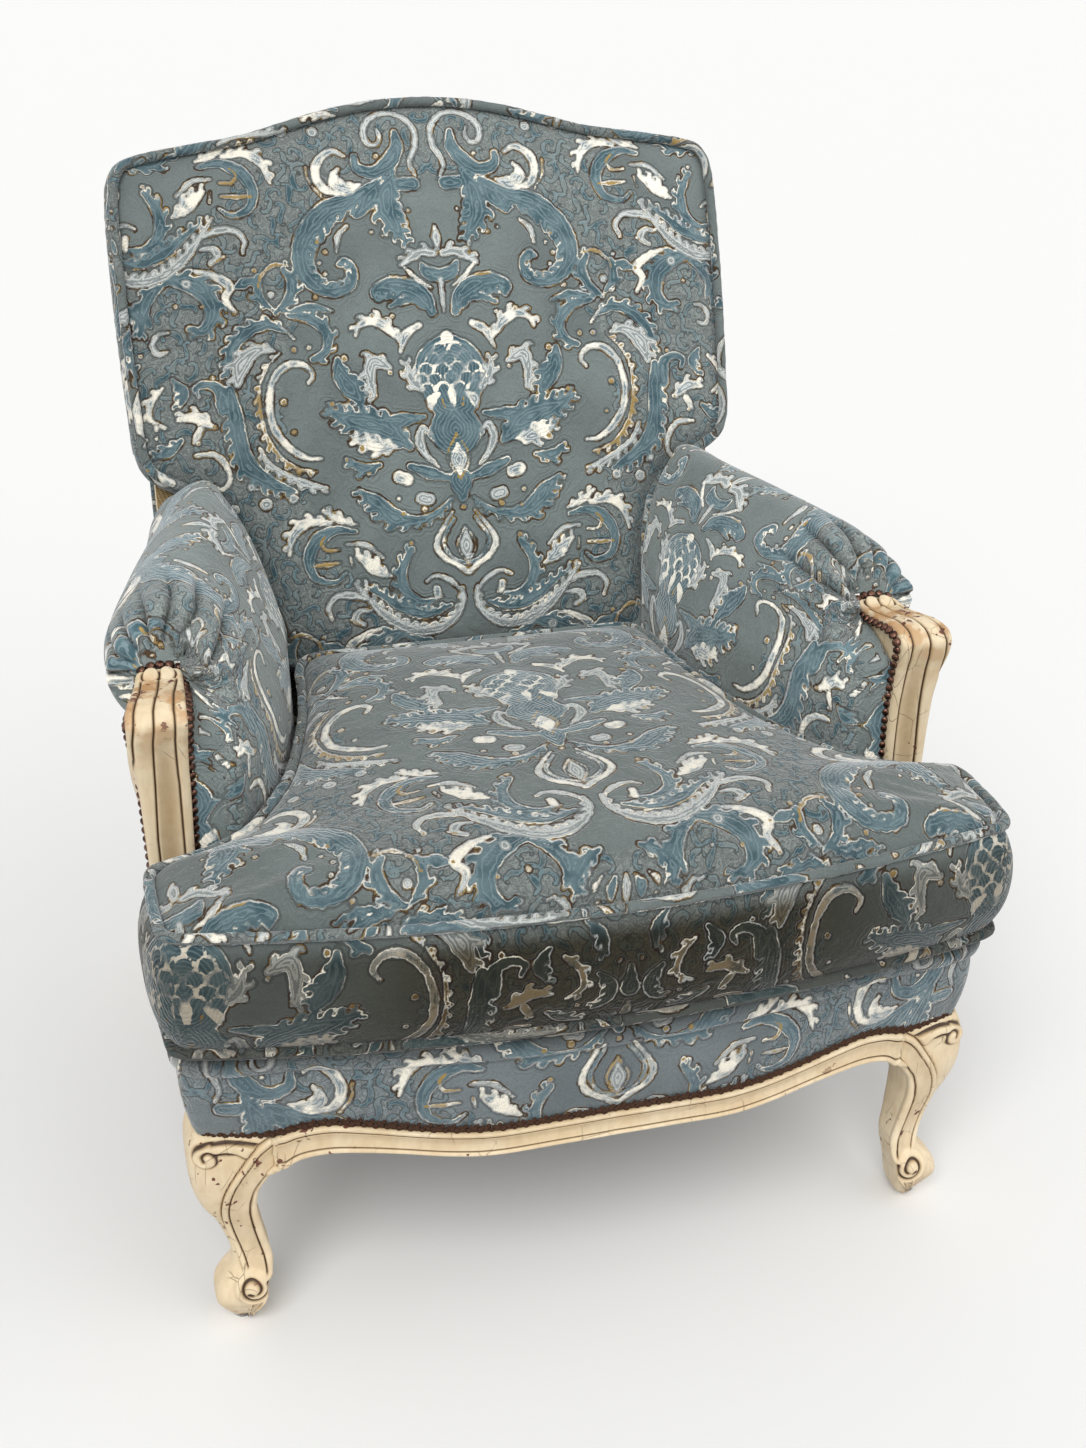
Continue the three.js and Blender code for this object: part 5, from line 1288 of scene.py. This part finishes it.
KNEE_STRIP = [(325, 205), (338, 209), (354, 210)]
LEG_SIDES = 210
LEG_STEP = 1.1
APRON_HALF = 303
RAIL_THICK = 24


def rib_share(x, z):
    """How far across the leg's rib a point is seen from the front: 0 at its outer line, 1 inside."""
    points = np.column_stack([x, z])
    outer = smooth(RIB_OUTER, 300)
    inner = smooth(RIB_INNER, 300)
    _, a = nearest(points, outer)
    _, b = nearest(points, inner)
    away = ((points - outer[a]) * normals_2d(outer, False)[a]).sum(1)
    left = -((points - inner[b]) * normals_2d(inner, False)[b]).sum(1)
    total = np.maximum(np.abs(away) + np.abs(left), 1e-6)
    return np.where(left < 0, 1.0, away / total)


def rib_height(share):
    return table(smooth(RIB_PROFILE, 400), share)


def rib_glaze(share):
    wash = FILLET_WASH * eased(0.2, 0.3, share) * eased(0.8, 0.7, share)
    return wash + sum(np.exp(-((share - at) / GROOVE_SHARE) ** 2) for at in RIB_GROOVES)


def spiral(centre, first, last, turns, start):
    """A volute's line, wound counter-clockwise from a start angle in degrees."""
    t = np.linspace(0, 1, int(90 * turns) + 8)
    angle = math.radians(start) + t * turns * 2 * math.pi
    radius = first + (last - first) * t
    return np.column_stack([centre[0] + radius * np.cos(angle), centre[1] + radius * np.sin(angle)])


def groove(points, line, width):
    """1 on a carved line, fading to its sides."""
    return np.exp(-(nearest(points, line)[0] / width) ** 2)


def leg_carving(x, z):
    """Height of the carving over the leg's plain front, and the glaze in it."""
    share = rib_share(x, z)
    inside = eased(-0.06, 0.0, share)
    outside = 1 - inside
    points = np.column_stack([x, z])
    foot_gap = np.hypot(x - FOOT_EYE[0], z - FOOT_EYE[1])
    foot = eased(FOOT_SCROLL + 3, FOOT_SCROLL - 1, foot_gap)
    rib = inside * (1 - foot)
    height = rib * rib_height(share) + outside * eased(100, 165, z) * 1.5
    glaze = rib * rib_glaze(share)
    for line, count in ((KNEE_SCROLL, 180), (KNEE_UNDER, 40)):
        mark = outside * groove(points, smooth(line, count), 1.7)
        height -= 2.8 * mark
        glaze += mark
    raised = eased(12, 9.5, np.hypot(x - KNEE_EYE[0], z - KNEE_EYE[1]))
    strip_gap, _ = nearest(points, smooth(KNEE_STRIP, 30))
    height += outside * np.maximum(raised, eased(7.5, 5, strip_gap)) * 3.6
    height += foot * (3.0 + 2.2 * eased(9, 1, foot_gap))
    mark = foot * groove(points, spiral(FOOT_EYE, FOOT_SCROLL - 2.5, 5.5, 1.2, 160), 1.8)
    height -= 3.4 * mark
    glaze += mark
    eye_gap = np.hypot((x - FOOT_EYE[0] - 3) / 1.5, z - FOOT_EYE[1] + 4.0)
    height -= 3.0 * eased(2.8, 0.8, eye_gap)
    glaze += eased(3.4, 1.2, eye_gap)
    return height, np.clip(glaze, 0, 1)


def squared_turn(count, power):
    """Cosines and sines round a turn, squared up towards a rounded rectangle."""
    turn = np.linspace(0, 2 * math.pi, count, endpoint=False)
    return [np.sign(way) * np.abs(way) ** (2 / power) for way in (np.cos(turn), np.sin(turn))]


def front_legs():
    """Cabriole legs: a lofted section, its front carved with the rib, the knee scroll and the volute."""
    outline = smooth(LEG_OUTLINE, 300)
    inside = smooth(LEG_INSIDE, 300)
    depths = smooth(LEG_DEPTHS, 300)
    u, v = [(way + 1) / 2 for way in squared_turn(LEG_SIDES, 4.2)]
    rings = []
    for z in np.arange(LEG_FOOT, KNEE_TOP, LEG_STEP):
        x0, x1 = table(inside, z), table(outline, z)
        inner_front, outer_front, rear = [table(depths, z, column) for column in (1, 2, 3)]
        front = inner_front * (1 - u) + outer_front * u
        flat = np.column_stack([x0 + (x1 - x0) * u, front + (rear - front) * v])
        ring = evenly(flat_ring(flat, z), LEG_SIDES, True)
        beside = (ring[:, 0] < ring[:, 0].min() + 9) & (ring[:, 1] < inner_front + 12)
        ring[beside, 1] += eased(172, 186, z) * (inner_front - ring[beside, 1])
        rings.append(ring)
    rings = np.array(rings)
    away = np.stack([normals_2d(ring[:, :2]) for ring in rings])
    facing = eased(0.15, 0.75, -away[..., 1])
    height, glaze = [values.reshape(facing.shape) * facing
                     for values in leg_carving(rings[..., 0].ravel(), rings[..., 2].ravel())]
    rings[..., :2] += away * height[..., None]
    block = np.column_stack([np.clip(rings[-1, :, 0], 299, 351), np.clip(rings[-1, :, 1], -358, -308)])
    extra = np.array([flat_ring(block, KNEE_TOP + 0.6), flat_ring(block, RAIL_TOP)])
    points, faces = rings_mesh(np.concatenate([rings, extra]))
    plain = np.zeros(2 * LEG_SIDES + 2)
    marks = {"groove": np.append(glaze.ravel(), plain),
             "wear": np.append(eased(40, 0, rings[..., 2].ravel()) * 0.7, plain) + 0.12}
    mirrored("front_leg_carved", points, faces, marks, PAINT, "paint", "front_leg")


def mirrored(name, points, faces, marks, material, slot, node_name):
    """A piece on each side of the chair, the left one turned over."""
    for side, sign in SIDES:
        turned = faces if sign > 0 else [face[::-1] for face in faces]
        piece = make(f"{name}_{side}", points * (sign, 1, 1), turned, material, slot)
        for mark, values in marks.items():
            paint_points(piece.data, mark, values)
        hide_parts(f"{node_name}_{side}")


def moulded(place, high, low, flat, face, strips, foot):
    """Points, faces and glaze of a rail that is flat above its moulding, with its lower edge and its back.

    place gives the rail's plan at a distance out of its face. The flat stands at one such distance, the
    moulding grows from another, and foot lists a distance and a rise for each line of the lower edge.
    """
    rows = [(flat, RAIL_TOP, 0), (flat, high, 1)]
    for share in np.linspace(0, 1, strips):
        rows.append((face + rib_height(share), high + (low - high) * share, rib_glaze(share)))
    rows += [(out, low + rise, 0) for out, rise in foot]
    rows.append((foot[-1][0], RAIL_TOP, 0))
    rings = np.stack([np.column_stack([place(out), z + 0 * low]) for out, z, _ in rows], axis=1)
    glaze = np.append(np.tile([mark for _, _, mark in rows], len(low)), [0, 0])
    return *rings_mesh(rings), np.clip(glaze, 0, 1)


def apron():
    """Front rail: the moulding swept along the bow between the nail line and the lower edge."""
    x = np.linspace(-APRON_HALF, APRON_HALF, 330)

    def place(out):
        return np.column_stack([x, bow_y(x) - out])

    foot = ((-6.0, -0.6), (-RAIL_THICK - 6, 0.4))
    points, faces, glaze = moulded(place, nail_line(x), table(apron_curve, np.abs(x)), -6.3, 0.4, 64, foot)
    piece = make("front_apron", points, faces, PAINT, "paint")
    paint_points(piece.data, "groove", glaze)
    paint_points(piece.data, "wear", 0 * glaze + 0.15)
    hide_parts("front_rail")


# Profiles of a post from the side, in shares of its reach and height, from the rear of its top down
POST_FRONT_SHARES = [(1.17, 0.950), (1.155, 0.966), (1.08, 0.975), (0.96, 0.971), (0.82, 0.970),
                     (0.55, 0.979), (0.3, 0.988), (0.1, 0.980), (0.0, 0.957), (0.012, 0.93),
                     (0.09, 0.86), (0.15, 0.72), (0.15, 0.54), (0.09, 0.28), (-0.02, 0)]
POST_BACK_SHARES = [(1.15, 0.94), (1.05, 0.915), (0.75, 0.905), (0.6, 0.89), (0.52, 0.82), (0.5, 0.7),
                    (0.5, 0.5), (0.46, 0.25), (0.4, 0)]
POST_ROWS = 380
POST_ACROSS = 64
POST_GROOVES = [  # distance from the rear of the top, and place across from the inner edge
    [(0, 0.12), (30, 0.14), (66, 0.2), (150, 0.22), (440, 0.2)],
    [(0, 0.5), (30, 0.5), (70, 0.5), (118, 0.56), (178, 0.68), (235, 0.75), (440, 0.78)],
    [(0, 0.88), (30, 0.86), (66, 0.83), (106, 0.86), (150, 0.97), (170, 1.1), (440, 1.1)],
]
POST_WIDTHS = [(0, 22), (2, 28), (5, 35), (10, 40), (18, 43), (45, 46), (75, 50), (105, 54), (125, 53),
               (170, 46), (250, 42), (320, 40), (440, 34)]
POST_MIDDLES = [(0, 355), (20, 356.5), (60, 361), (100, 366), (130, 366.5), (180, 363.5), (320, 362),
                (440, 357)]
OVAL_PLACE = 20  # from the rear end of the post's top to the middle of an oval
OVAL_LONG = 9.5
OVAL_TILT = 0.3  # how far the ovals' faces turn forward
OVAL_WIDE = 8.0
POST_SIDE_SHARES = (  # how far back towards the rear line, and across from the middle
    (0.25, 0.5), (0.6, 0.5), (0.97, 0.47), (1.0, 0.4), (1.0, -0.4), (0.97, -0.47), (0.6, -0.5), (0.25, -0.5),
)


def post_places(rows):
    back, rise = np.asarray(rows).T
    return np.column_stack([back * POST_REACH - POST_FRONT, POST_BOTTOM + rise * (POST_TOP - POST_BOTTOM)])


def post_front(count=POST_ROWS):
    """Side profile, its outward normals, and the run, width and middle at each of its points."""
    line = smooth(post_places(POST_FRONT_SHARES), count)
    away = normals_2d(line, closed=False)
    if away[count // 2, 0] > 0:
        away = -away
    run = run_along(line)
    return line, away, run, table(POST_WIDTHS, run), table(POST_MIDDLES, run)


def half_sine(u, start, end):
    """Half a sine across a post, from one line to another."""
    return np.sin(math.pi * np.clip((u - start) / (end - start), 0, 1))


def arm_posts():
    """Posts: ovals on the top, grooves that run over the knuckle, and a widening cove down the front."""
    front, away, run, widths, middles = post_front()
    back = smooth(post_places(POST_BACK_SHARES), POST_ROWS)
    u = np.linspace(0, 1, POST_ACROSS)[None, :]
    down, wide = run[:, None], widths[:, None]
    across = middles[:, None] + (u - 0.5) * wide
    lines = [table(rows, run)[:, None] for rows in POST_GROOVES]
    first, second, third = lines
    height = 1.6 + 1.2 * np.sin(math.pi * u) + 0 * across
    glaze = np.zeros_like(across)
    started = eased(24, 30, down)
    for line in lines:
        mark = np.exp(-((u - line) * wide / 1.25) ** 2) * started
        height -= 2.4 * mark
        glaze = np.maximum(glaze, mark)
    hollow = eased(80, 190, down)
    cove = half_sine(u, first, second)
    height -= hollow * 4.0 * cove**0.6
    glaze = np.maximum(glaze, hollow * 0.5 * cove**0.5)
    height += (1 - hollow) * started * (cove**0.8 + half_sine(u, second, third) ** 0.8)
    for middle in (0.33, 0.67):
        gap = np.hypot((u - middle) * wide / OVAL_WIDE, (down - OVAL_PLACE) / OVAL_LONG)
        ring = np.exp(-((gap - 1) * 6.5) ** 2)
        dome = eased(1.05, 0.8, gap)
        height = height * (1 - dome) + dome * (3.4 + OVAL_TILT * (OVAL_PLACE - down)) - 2.2 * ring
        glaze = np.maximum(glaze * (1 - dome), ring)
    edge = np.minimum(u, 1 - u) * wide
    height -= 3.2 * (1 - np.sqrt(np.clip(1 - (1 - np.minimum(edge / 4.2, 1)) ** 2, 0, 1)))
    height -= 1.5 * eased(9, 0, down)
    face = np.stack([across, *(front[:, None, k] + away[:, None, k] * height for k in (0, 1))], axis=2)
    sides = [np.column_stack([middles + half * widths, front + (back - front) * share])
             for share, half in POST_SIDE_SHARES]
    rings = np.concatenate([face, np.stack(sides, axis=1)], axis=1)
    points, faces = rings_mesh(rings[:, ::-1])
    worn = eased(190, 60, down) * eased(14, 40, down) + 0 * across
    marks = {}
    for mark, values, plain in (("groove", glaze, 0.0), ("wear", worn, 0.2)):
        beside = np.full((POST_ROWS, len(sides)), plain)
        marks[mark] = np.append(np.concatenate([values, beside], axis=1)[:, ::-1].ravel(), [0, 0])
    marks["groove"] = np.clip(marks["groove"], 0, 1)
    mirrored("arm_post_carved", points, faces, marks, PAINT, "paint", "arm_post")


def rounded_section(x0, x1, y0, y1):
    """A rounded rectangle in plan."""
    across, along = squared_turn(48, 5.0)
    return np.column_stack([(x0 + x1) / 2 + (x1 - x0) / 2 * across, (y0 + y1) / 2 + (y1 - y0) / 2 * along])


REAR_LEG_INNER = 286
REAR_LEG_OUTER = 322
REAR_LEG_LEVELS = [  # height, front and back of the leg
    (3.3, 270, 301), (45, 255, 288), (100, 228, 262), (150, 205, 247), (200, 191, 240), (250, 190, 239.5),
    (300, 190, 240), (360, 197, 245), (420, 212, 250),
]
PANEL_GAP = 0.3  # between a panel and the frame it is fixed to
PANEL_FOOT = 226.8
BEND_Y = BACK_FOOT[1] + (BACK_FRAME_BACK + PANEL_GAP) * math.cos(BACK_TILT)
BEND_Z = BACK_FOOT[2] - (BACK_FRAME_BACK + PANEL_GAP) * math.sin(BACK_TILT)


def rear_legs():
    """Sabre legs that run on up behind the back as its stiles."""
    rings = [flat_ring(rounded_section(REAR_LEG_INNER, REAR_LEG_OUTER, y0, y1), z)
             for z, y0, y1 in smooth(REAR_LEG_LEVELS, 90)]
    last = rings[-1]
    depth = (last[:, 1] - last[:, 1].min()) / np.ptp(last[:, 1])
    for share in np.linspace(0.15, 1, 12):
        ring = last.copy()
        ring[:, 1:] = on_back(0, 450 * share - 6, -(46 + 27.5 * depth))[:, 1:]
        rings.append(ring)
    points, faces = rings_mesh(np.array(rings))
    z = points[:, 2]
    behind = BEND_Y - 0.6 + np.maximum(0, z - BEND_Z) * math.tan(BACK_TILT)
    points[:, 1] = np.where(z > PANEL_FOOT, np.minimum(points[:, 1], behind), points[:, 1])
    marks = {"groove": 0 * z, "wear": eased(60, 0, z) * 0.8 + 0.1}
    mirrored("rear_leg_shaped", points, faces, marks, PAINT, "paint", "rear_leg")


SIDE_RAIL_FRONT = -305.7
SIDE_RAIL_REAR = 189.7
SIDE_RAIL_OUTER = 365
SIDE_EDGE_SHARES = [(0, -0.1), (0.06, 0.3), (0.16, 0.5), (0.32, 0.3), (0.5, 0.12), (0.68, 0.3), (0.84, 0.5),
                    (0.94, 0.3), (1, -0.1)]


def side_rails():
    """Side rails with the same moulding as the apron along their lower part."""
    y = np.linspace(SIDE_RAIL_FRONT, SIDE_RAIL_REAR, 200)
    low = APRON_LOWEST + APRON_HEIGHT * table(smooth(SIDE_EDGE_SHARES, 300), (y - y[0]) / (y[-1] - y[0]))
    outer = SIDE_RAIL_OUTER - SIDE_TAPER * (y - SIDE_RAIL_FRONT)

    def place(out):
        return np.column_stack([outer + out, y])

    points, faces, glaze = moulded(place, LEG_TOP, low, 0, 3, 52, ((-3, 0), (-RAIL_THICK, 1)))
    marks = {"groove": glaze, "wear": 0 * glaze + 0.1}
    mirrored("side_rail_moulded", points, faces, marks, PAINT, "paint", "side_rail")


# Nails and gimp

def dome(radius, flatness=0.62, sides=14, levels=5):
    """Points and faces of a nail's head, its top towards +Z."""
    points = [(0, 0, radius * flatness)]
    for level in range(1, levels + 1):
        angle = level / levels * math.pi / 2
        for k in range(sides):
            turn = 2 * math.pi * k / sides
            out = radius * math.sin(angle)
            points.append((out * math.cos(turn), out * math.sin(turn), radius * flatness * math.cos(angle)))
    points.append((0, 0, -0.4 * radius))
    faces = [[0, 1 + k, 1 + (k + 1) % sides] for k in range(sides)]
    for level in range(levels - 1):
        base = 1 + level * sides
        faces += [[base + k, base + sides + k, base + sides + (k + 1) % sides, base + (k + 1) % sides]
                  for k in range(sides)]
    base = 1 + (levels - 1) * sides
    faces += [[len(points) - 1, base + (k + 1) % sides, base + k] for k in range(sides)]
    return np.array(points), faces


def moved_faces(faces, start):
    return [[index + start for index in face] for face in faces]


def nails(places, facing, radii):
    """Many nail heads as one set of points and faces."""
    points, faces = [], []
    start = 0
    for place, direction, radius in zip(places, facing, radii):
        head, skin = dome(radius)
        turn = np.array(Vector(direction).to_track_quat("Z", "Y").to_matrix())
        points.append(head @ turn.T + place)
        faces += moved_faces(skin, start)
        start += len(head)
    return np.vstack(points), faces


NAIL_PITCH = 9.2
NAIL_RADIUS = 4.1
NAIL_SET_BACK = 4.5  # nails lie this far behind the post's front face
END_NAIL_RISE = 10  # how far the nails behind a post's top stand above the ones beside it


def post_nail_path():
    """Line and facing of the nails: up the inner side, round the rear of the top, down the outer side."""
    line, away, run, widths, middles = post_front(400)
    set_back = line - away * NAIL_SET_BACK
    keep = (run > 10) & (run < run[-1] - 20)
    inner = np.column_stack([middles - widths / 2 - 2.4, set_back])[keep][::-1]
    outer = np.column_stack([middles + widths / 2 - 0.6, set_back - away * 5])[keep]
    inner_way = np.column_stack([0 * run - 0.8, away])[keep][::-1]
    outer_way = np.column_stack([0 * run + 0.9, away])[keep]
    middle = (inner[-1] + outer[0]) / 2
    half = (outer[0, 0] - inner[-1, 0]) / 2
    angle = np.linspace(0.15, math.pi - 0.15, 24)
    cos, sin = np.cos(angle), np.sin(angle)
    end = middle + np.column_stack([-half * cos, 9 * sin, 1.5 + END_NAIL_RISE * sin**0.5])
    end_way = np.column_stack([-0.6 * cos, -0.35 * sin, 0.8 + 0 * angle])
    return np.vstack([inner, end, outer]), np.vstack([inner_way, end_way, outer_way])


def post_nails():
    """Nails up the inner side of each post, round the rear of its top and down its outer side."""
    path, ways = post_nail_path()
    run = run_along(path)
    spots = np.arange(4, run[-1] - 4, NAIL_PITCH)
    places, facing = columns_at(spots, run, path), columns_at(spots, run, ways)
    radii = np.where(places[:, 2] > POST_TOP - 14, NAIL_RADIUS + 0.7, NAIL_RADIUS)
    mirrored("post_nails", *nails(places, facing, radii), {}, COPPER, "nail", "arm_nail_trim")


GIMP_PITCH = 5.2
GIMP_RADIUS = 2.9


def front_gimp():
    """Dark scalloped braid with nails along the apron's upper edge."""
    x = np.linspace(3 - SEAT_HALF, SEAT_HALF - 3, 900)
    straight = SEAT_HALF - CORNER_ROUND
    y = np.where(np.abs(x) < straight, bow_y(x), bow_y(straight) + (np.abs(x) - straight) ** 2 / CORNER_ROUND)
    line = np.column_stack([x, y - 0.8, nail_line(x) + 2.2])
    run = run_along(line)
    places = columns_at(np.arange(2, run[-1] - 2, GIMP_PITCH), run, line)
    count = np.arange(len(places))
    facing = np.column_stack([np.gradient(places[:, 1]), -np.gradient(places[:, 0]), 0.15 + 0 * count])
    places[:, 2] += 0.8 * np.cos(count * math.pi)
    low, low_faces = nails(places, facing, GIMP_RADIUS + 0.35 * np.sin(count * 1.7))
    upper = places[:-1] + (GIMP_PITCH / 2, 0.6, 2.3)
    high, high_faces = nails(upper, facing[:-1], [GIMP_RADIUS * 0.78] * len(upper))
    faces = low_faces + moved_faces(high_faces, len(low))
    piece = make("apron_gimp", np.vstack([low, high]), faces, GIMP, "nail")
    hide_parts("front_nail_trim")


# Outside panels, edge band and the cloth under the seat

PANEL_THICK = 1.8
BAND_FROM = 215  # up the slope, where the edge band begins
BAND_THICK = 3
PANEL_HALF = 325.6  # half width of the outside back below the ears
ARM_PANEL_FRONT = -187.3
ARM_PANEL_REAR = 237.2
ARM_PANEL_TOP = 505
ARM_PANEL_INNER = 322.5  # inner face at its rear end
EDGE_PATTERN_Y = 130


def cloth_panel(name, outline, middle, place, pillow, node_name, material=DAMASK_CLOTH):
    """A stretched panel of thin cloth; place brings its flat, and how far out of the flat, into space."""
    shares = 1 - np.linspace(0, 1, 90)[:-1]
    layers = [(share, 0.0) for share in shares[::-1]] + [(share, PANEL_THICK) for share in shares]
    flats = [middle + (outline - middle) * share for share, _ in layers]
    rings = [place(flat, out + pillow * (1 - share**2.5)) for flat, (share, out) in zip(flats, layers)]
    points, faces = rings_mesh(np.array(rings))
    piece = make(name, points, faces, material, "velvet")
    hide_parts(node_name)
    return piece, np.vstack(flats + [middle, middle])


def upper_edge():
    """The back's outline above the arms, from one end of the edge band to the other."""
    upper = back_outline[back_outline[:, 1] > BAND_FROM + 2]
    widest = int(np.argmax(np.linalg.norm(np.roll(upper, -1, axis=0) - upper, axis=1)))
    return np.roll(upper, -widest - 1, axis=0)


def outside_back():
    """The outside back: up the slope behind the frame, then straight down to the rail."""
    upper = upper_edge()
    upper = upper - normals_2d(upper, closed=False) * 1.6
    foot = PANEL_FOOT - BEND_Z
    half = math.copysign(PANEL_HALF, upper[0, 0])
    corners = ((1, BAND_FROM - 6), (1, foot + 5), (0.985, foot))
    lower = [(-half * share, y) for share, y in corners] + [(half * share, y) for share, y in corners[::-1]]
    outline = evenly(np.vstack([upper, lower]), 440, True)

    def place(flat, out):
        across, up = flat.T
        high = on_back(across, up, -BACK_FRAME_BACK - PANEL_GAP - out)
        low = np.column_stack([across, BEND_Y + out + 0 * up, BEND_Z + up])
        return low + (high - low) * eased(-24, 24, up)[:, None]

    piece, flat = cloth_panel("outside_back_cloth", outline, np.array([0, 180.0]), place, 4.0,
                              "outer_back_panel")
    dress(piece, *flat.T)


def outside_arms():
    """The outside of each arm, from the post to the rear leg."""
    front, rear = ARM_PANEL_FRONT, ARM_PANEL_REAR
    low, high = PANEL_FOOT, ARM_PANEL_TOP
    corners = [(front, low), (rear, low), (rear, high), (front, high)]
    outline = evenly(corners, 260, True)
    middle = np.mean(corners, axis=0)
    for side, sign in SIDES:

        def place(flat, out):
            y, z = flat.T
            return np.column_stack([sign * (ARM_PANEL_INNER + SIDE_TAPER * (ARM_PANEL_REAR - y) + out), y, z])

        piece, flat = cloth_panel(f"outside_arm_cloth_{side}", outline, middle, place, 3.0,
                                  f"outer_arm_panel_{side}")
        dress(piece, flat[:, 0] + ARM_PATTERN_X, flat[:, 1] + ARM_PATTERN_Y)


def edge_band():
    """Wadded cloth over the back's edge, behind the piping."""
    path = evenly(upper_edge(), 420)
    away = normals_2d(path, closed=False)
    front, rear = -BACK_PAD_THICK - 1.6, -BACK_FRAME_BACK
    section = [(-0.4, front)]
    section += [(0.3 + 2.6 * math.sin(math.pi * share), front + (rear - front) * share)
                for share in np.linspace(0, 1, 12)]
    section += [(-0.8, rear), (-BAND_THICK, rear), (-BAND_THICK, front)]
    outs, depths = np.array(section).T
    run = np.linspace(0, 1, len(path)) * len(path)
    pucker = 0.25 * np.sin(run * 1.1) * np.sin(run * 0.07)
    rings = []
    for (x, up), (nx, ny), lift in zip(path, away, pucker):
        offsets = outs + lift * (outs > 0)
        rings.append(on_back(x + nx * offsets, up + ny * offsets, depths))
    points, faces = rings_mesh(np.array(rings))
    piece = make("back_edge_cloth", points, faces, DAMASK_CLOTH, "velvet")
    step = np.linalg.norm(path[1] - path[0])
    length = np.append(np.repeat(np.arange(len(path)) * step, len(section)), [0, len(path) * step])
    depth = np.append(np.tile(depths, len(path)), [front, front])
    dress(piece, length - len(path) * step / 2, EDGE_PATTERN_Y - depth)
    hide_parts("back_edge_band")


def under_cloth():
    """Black cloth tacked under the seat, sagging a little."""
    points = coordinates(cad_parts["dust_cover"].data)
    low = points[:, 2].min()
    rim = points[points[:, 2] < low + 0.4][:, :2]
    middle = (rim.max(0) + rim.min(0)) / 2
    order = np.argsort(np.arctan2(*(rim - middle).T[::-1]))
    outline = evenly(rim[order], 320, True)

    def place(flat, out):
        return flat_ring(flat, low + 1.9 - out)

    piece, _ = cloth_panel("cambric_under_seat", outline, middle, place, 5.0, "dust_cover",
                           BLACK_CLOTH)


# Bare solids

def set_cad_materials():
    """Finishes of the solids that no piece replaces."""
    finishes = {
        "seat_webbing": JUTE, "back_webbing": JUTE, "hessian": JUTE, "seat_pad": HAIR, "cushion_core": FOAM,
        "cushion_zip": ZIP,
    }
    finishes.update(dict.fromkeys(("rear_rail", "crest_rail", "lower_back_rail"), BEECH))
    for side, _ in SIDES:
        for name in ("front_corner_block", "rear_corner_block", "arm_rail"):
            finishes[f"{name}_{side}"] = BEECH
        for name in ("front_glide", "rear_glide"):
            finishes[f"{name}_{side}"] = STEEL
    finishes.update({f"seat_spring_{number}": STEEL for number in range(1, 10)})
    for name, material in finishes.items():
        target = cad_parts[name].data
        target.materials.clear()
        target.materials.append(material)


# Camera, light and floor

CAMERA_PLACE = (-429.9, -1673.7, 1270.0)
CAMERA_YAW = math.radians(15.94)
CAMERA_PITCH = math.radians(26.645)
CAMERA_ROLL = math.radians(0.85)
FOCAL_PIXELS = 1815.3
IMAGE_HEIGHT = 1448
SENSOR = 36
SOFT_LIGHT = 0.53
FLOOR_HALF = 30  # metres


def camera():
    data = bpy.data.cameras.new("camera")
    data.sensor_fit = "AUTO"
    data.sensor_width = SENSOR
    data.lens = FOCAL_PIXELS * SENSOR / IMAGE_HEIGHT
    shot = linked("camera", data)
    sy, cy = math.sin(CAMERA_YAW), math.cos(CAMERA_YAW)
    sp, cp = math.sin(CAMERA_PITCH), math.cos(CAMERA_PITCH)
    forward = Vector((sy * cp, cy * cp, -sp))
    right = Vector((cy, -sy, 0))
    up = right.cross(forward)
    sr, cr = math.sin(CAMERA_ROLL), math.cos(CAMERA_ROLL)
    axes = (cr * right + sr * up, cr * up - sr * right, -forward)
    turn = Matrix(axes).transposed().to_4x4()
    shot.matrix_world = Matrix.Translation(Vector(to_row(CAMERA_PLACE))) @ turn
    bpy.context.scene.camera = shot


def sun(name, strength, angle, direction):
    data = bpy.data.lights.new(name, "SUN")
    data.energy = strength
    data.angle = math.radians(angle)
    lamp = linked(name, data)
    lamp.rotation_mode = "QUATERNION"
    lamp.rotation_quaternion = Vector(direction).to_track_quat("-Z", "Y")


def seen_directly(tree):
    """1 for rays from the camera, and for those that gloss or glass sends on."""
    rays = node(tree, "LightPath").outputs
    seen = Value(tree, rays["Is Camera Ray"])
    return seen.maths("MAXIMUM", rays["Is Glossy Ray"]).maths("MAXIMUM", rays["Is Transmission Ray"])


def studio():
    """A white room: soft light, two suns and a wide floor."""
    world = bpy.data.worlds.new("studio")
    bpy.context.scene.world = world
    world.use_nodes = True
    tree = world.node_tree
    soft = tree.nodes["Background"]
    soft.inputs["Color"].default_value = (1, 1, 1, 1)
    soft.inputs["Strength"].default_value = SOFT_LIGHT
    white = node(tree, "Background", {"Color": (0.96, 0.96, 0.96), "Strength": 1.0})
    choice = node(tree, "MixShader", {0: seen_directly(tree), 1: soft.outputs[0], 2: white.outputs[0]})
    tree.links.new(choice.outputs[0], tree.nodes["World Output"].inputs["Surface"])
    sun("key", 1.62, 38, (0.45, 0.8, -0.95))
    sun("fill", 0.70, 70, (-0.8, 0.5, -0.7))
    floor = bpy.data.meshes.new("floor")
    corners = [(-FLOOR_HALF, -FLOOR_HALF, 0), (FLOOR_HALF, -FLOOR_HALF, 0), (FLOOR_HALF, FLOOR_HALF, 0),
               (-FLOOR_HALF, FLOOR_HALF, 0)]
    floor.from_pydata(corners, [], [(0, 1, 2, 3)])
    look = Look("studio_floor", {"Roughness": 0.9})
    look.feed("Base Color", look.mix(seen_directly(look.tree), (0.6, 0.6, 0.6), (0.93, 0.93, 0.92)))
    floor.materials.append(look.material)
    ground = linked("floor", floor)


# The whole chair

bpy.context.scene.view_settings.view_transform = "Standard"
camera()
studio()
set_cad_materials()
seat_cushion()
back_pad()
arm_pads()
all_piping()
border()
apron()
front_legs()
arm_posts()
rear_legs()
side_rails()
post_nails()
front_gimp()
outside_back()
outside_arms()
edge_band()
under_cloth()
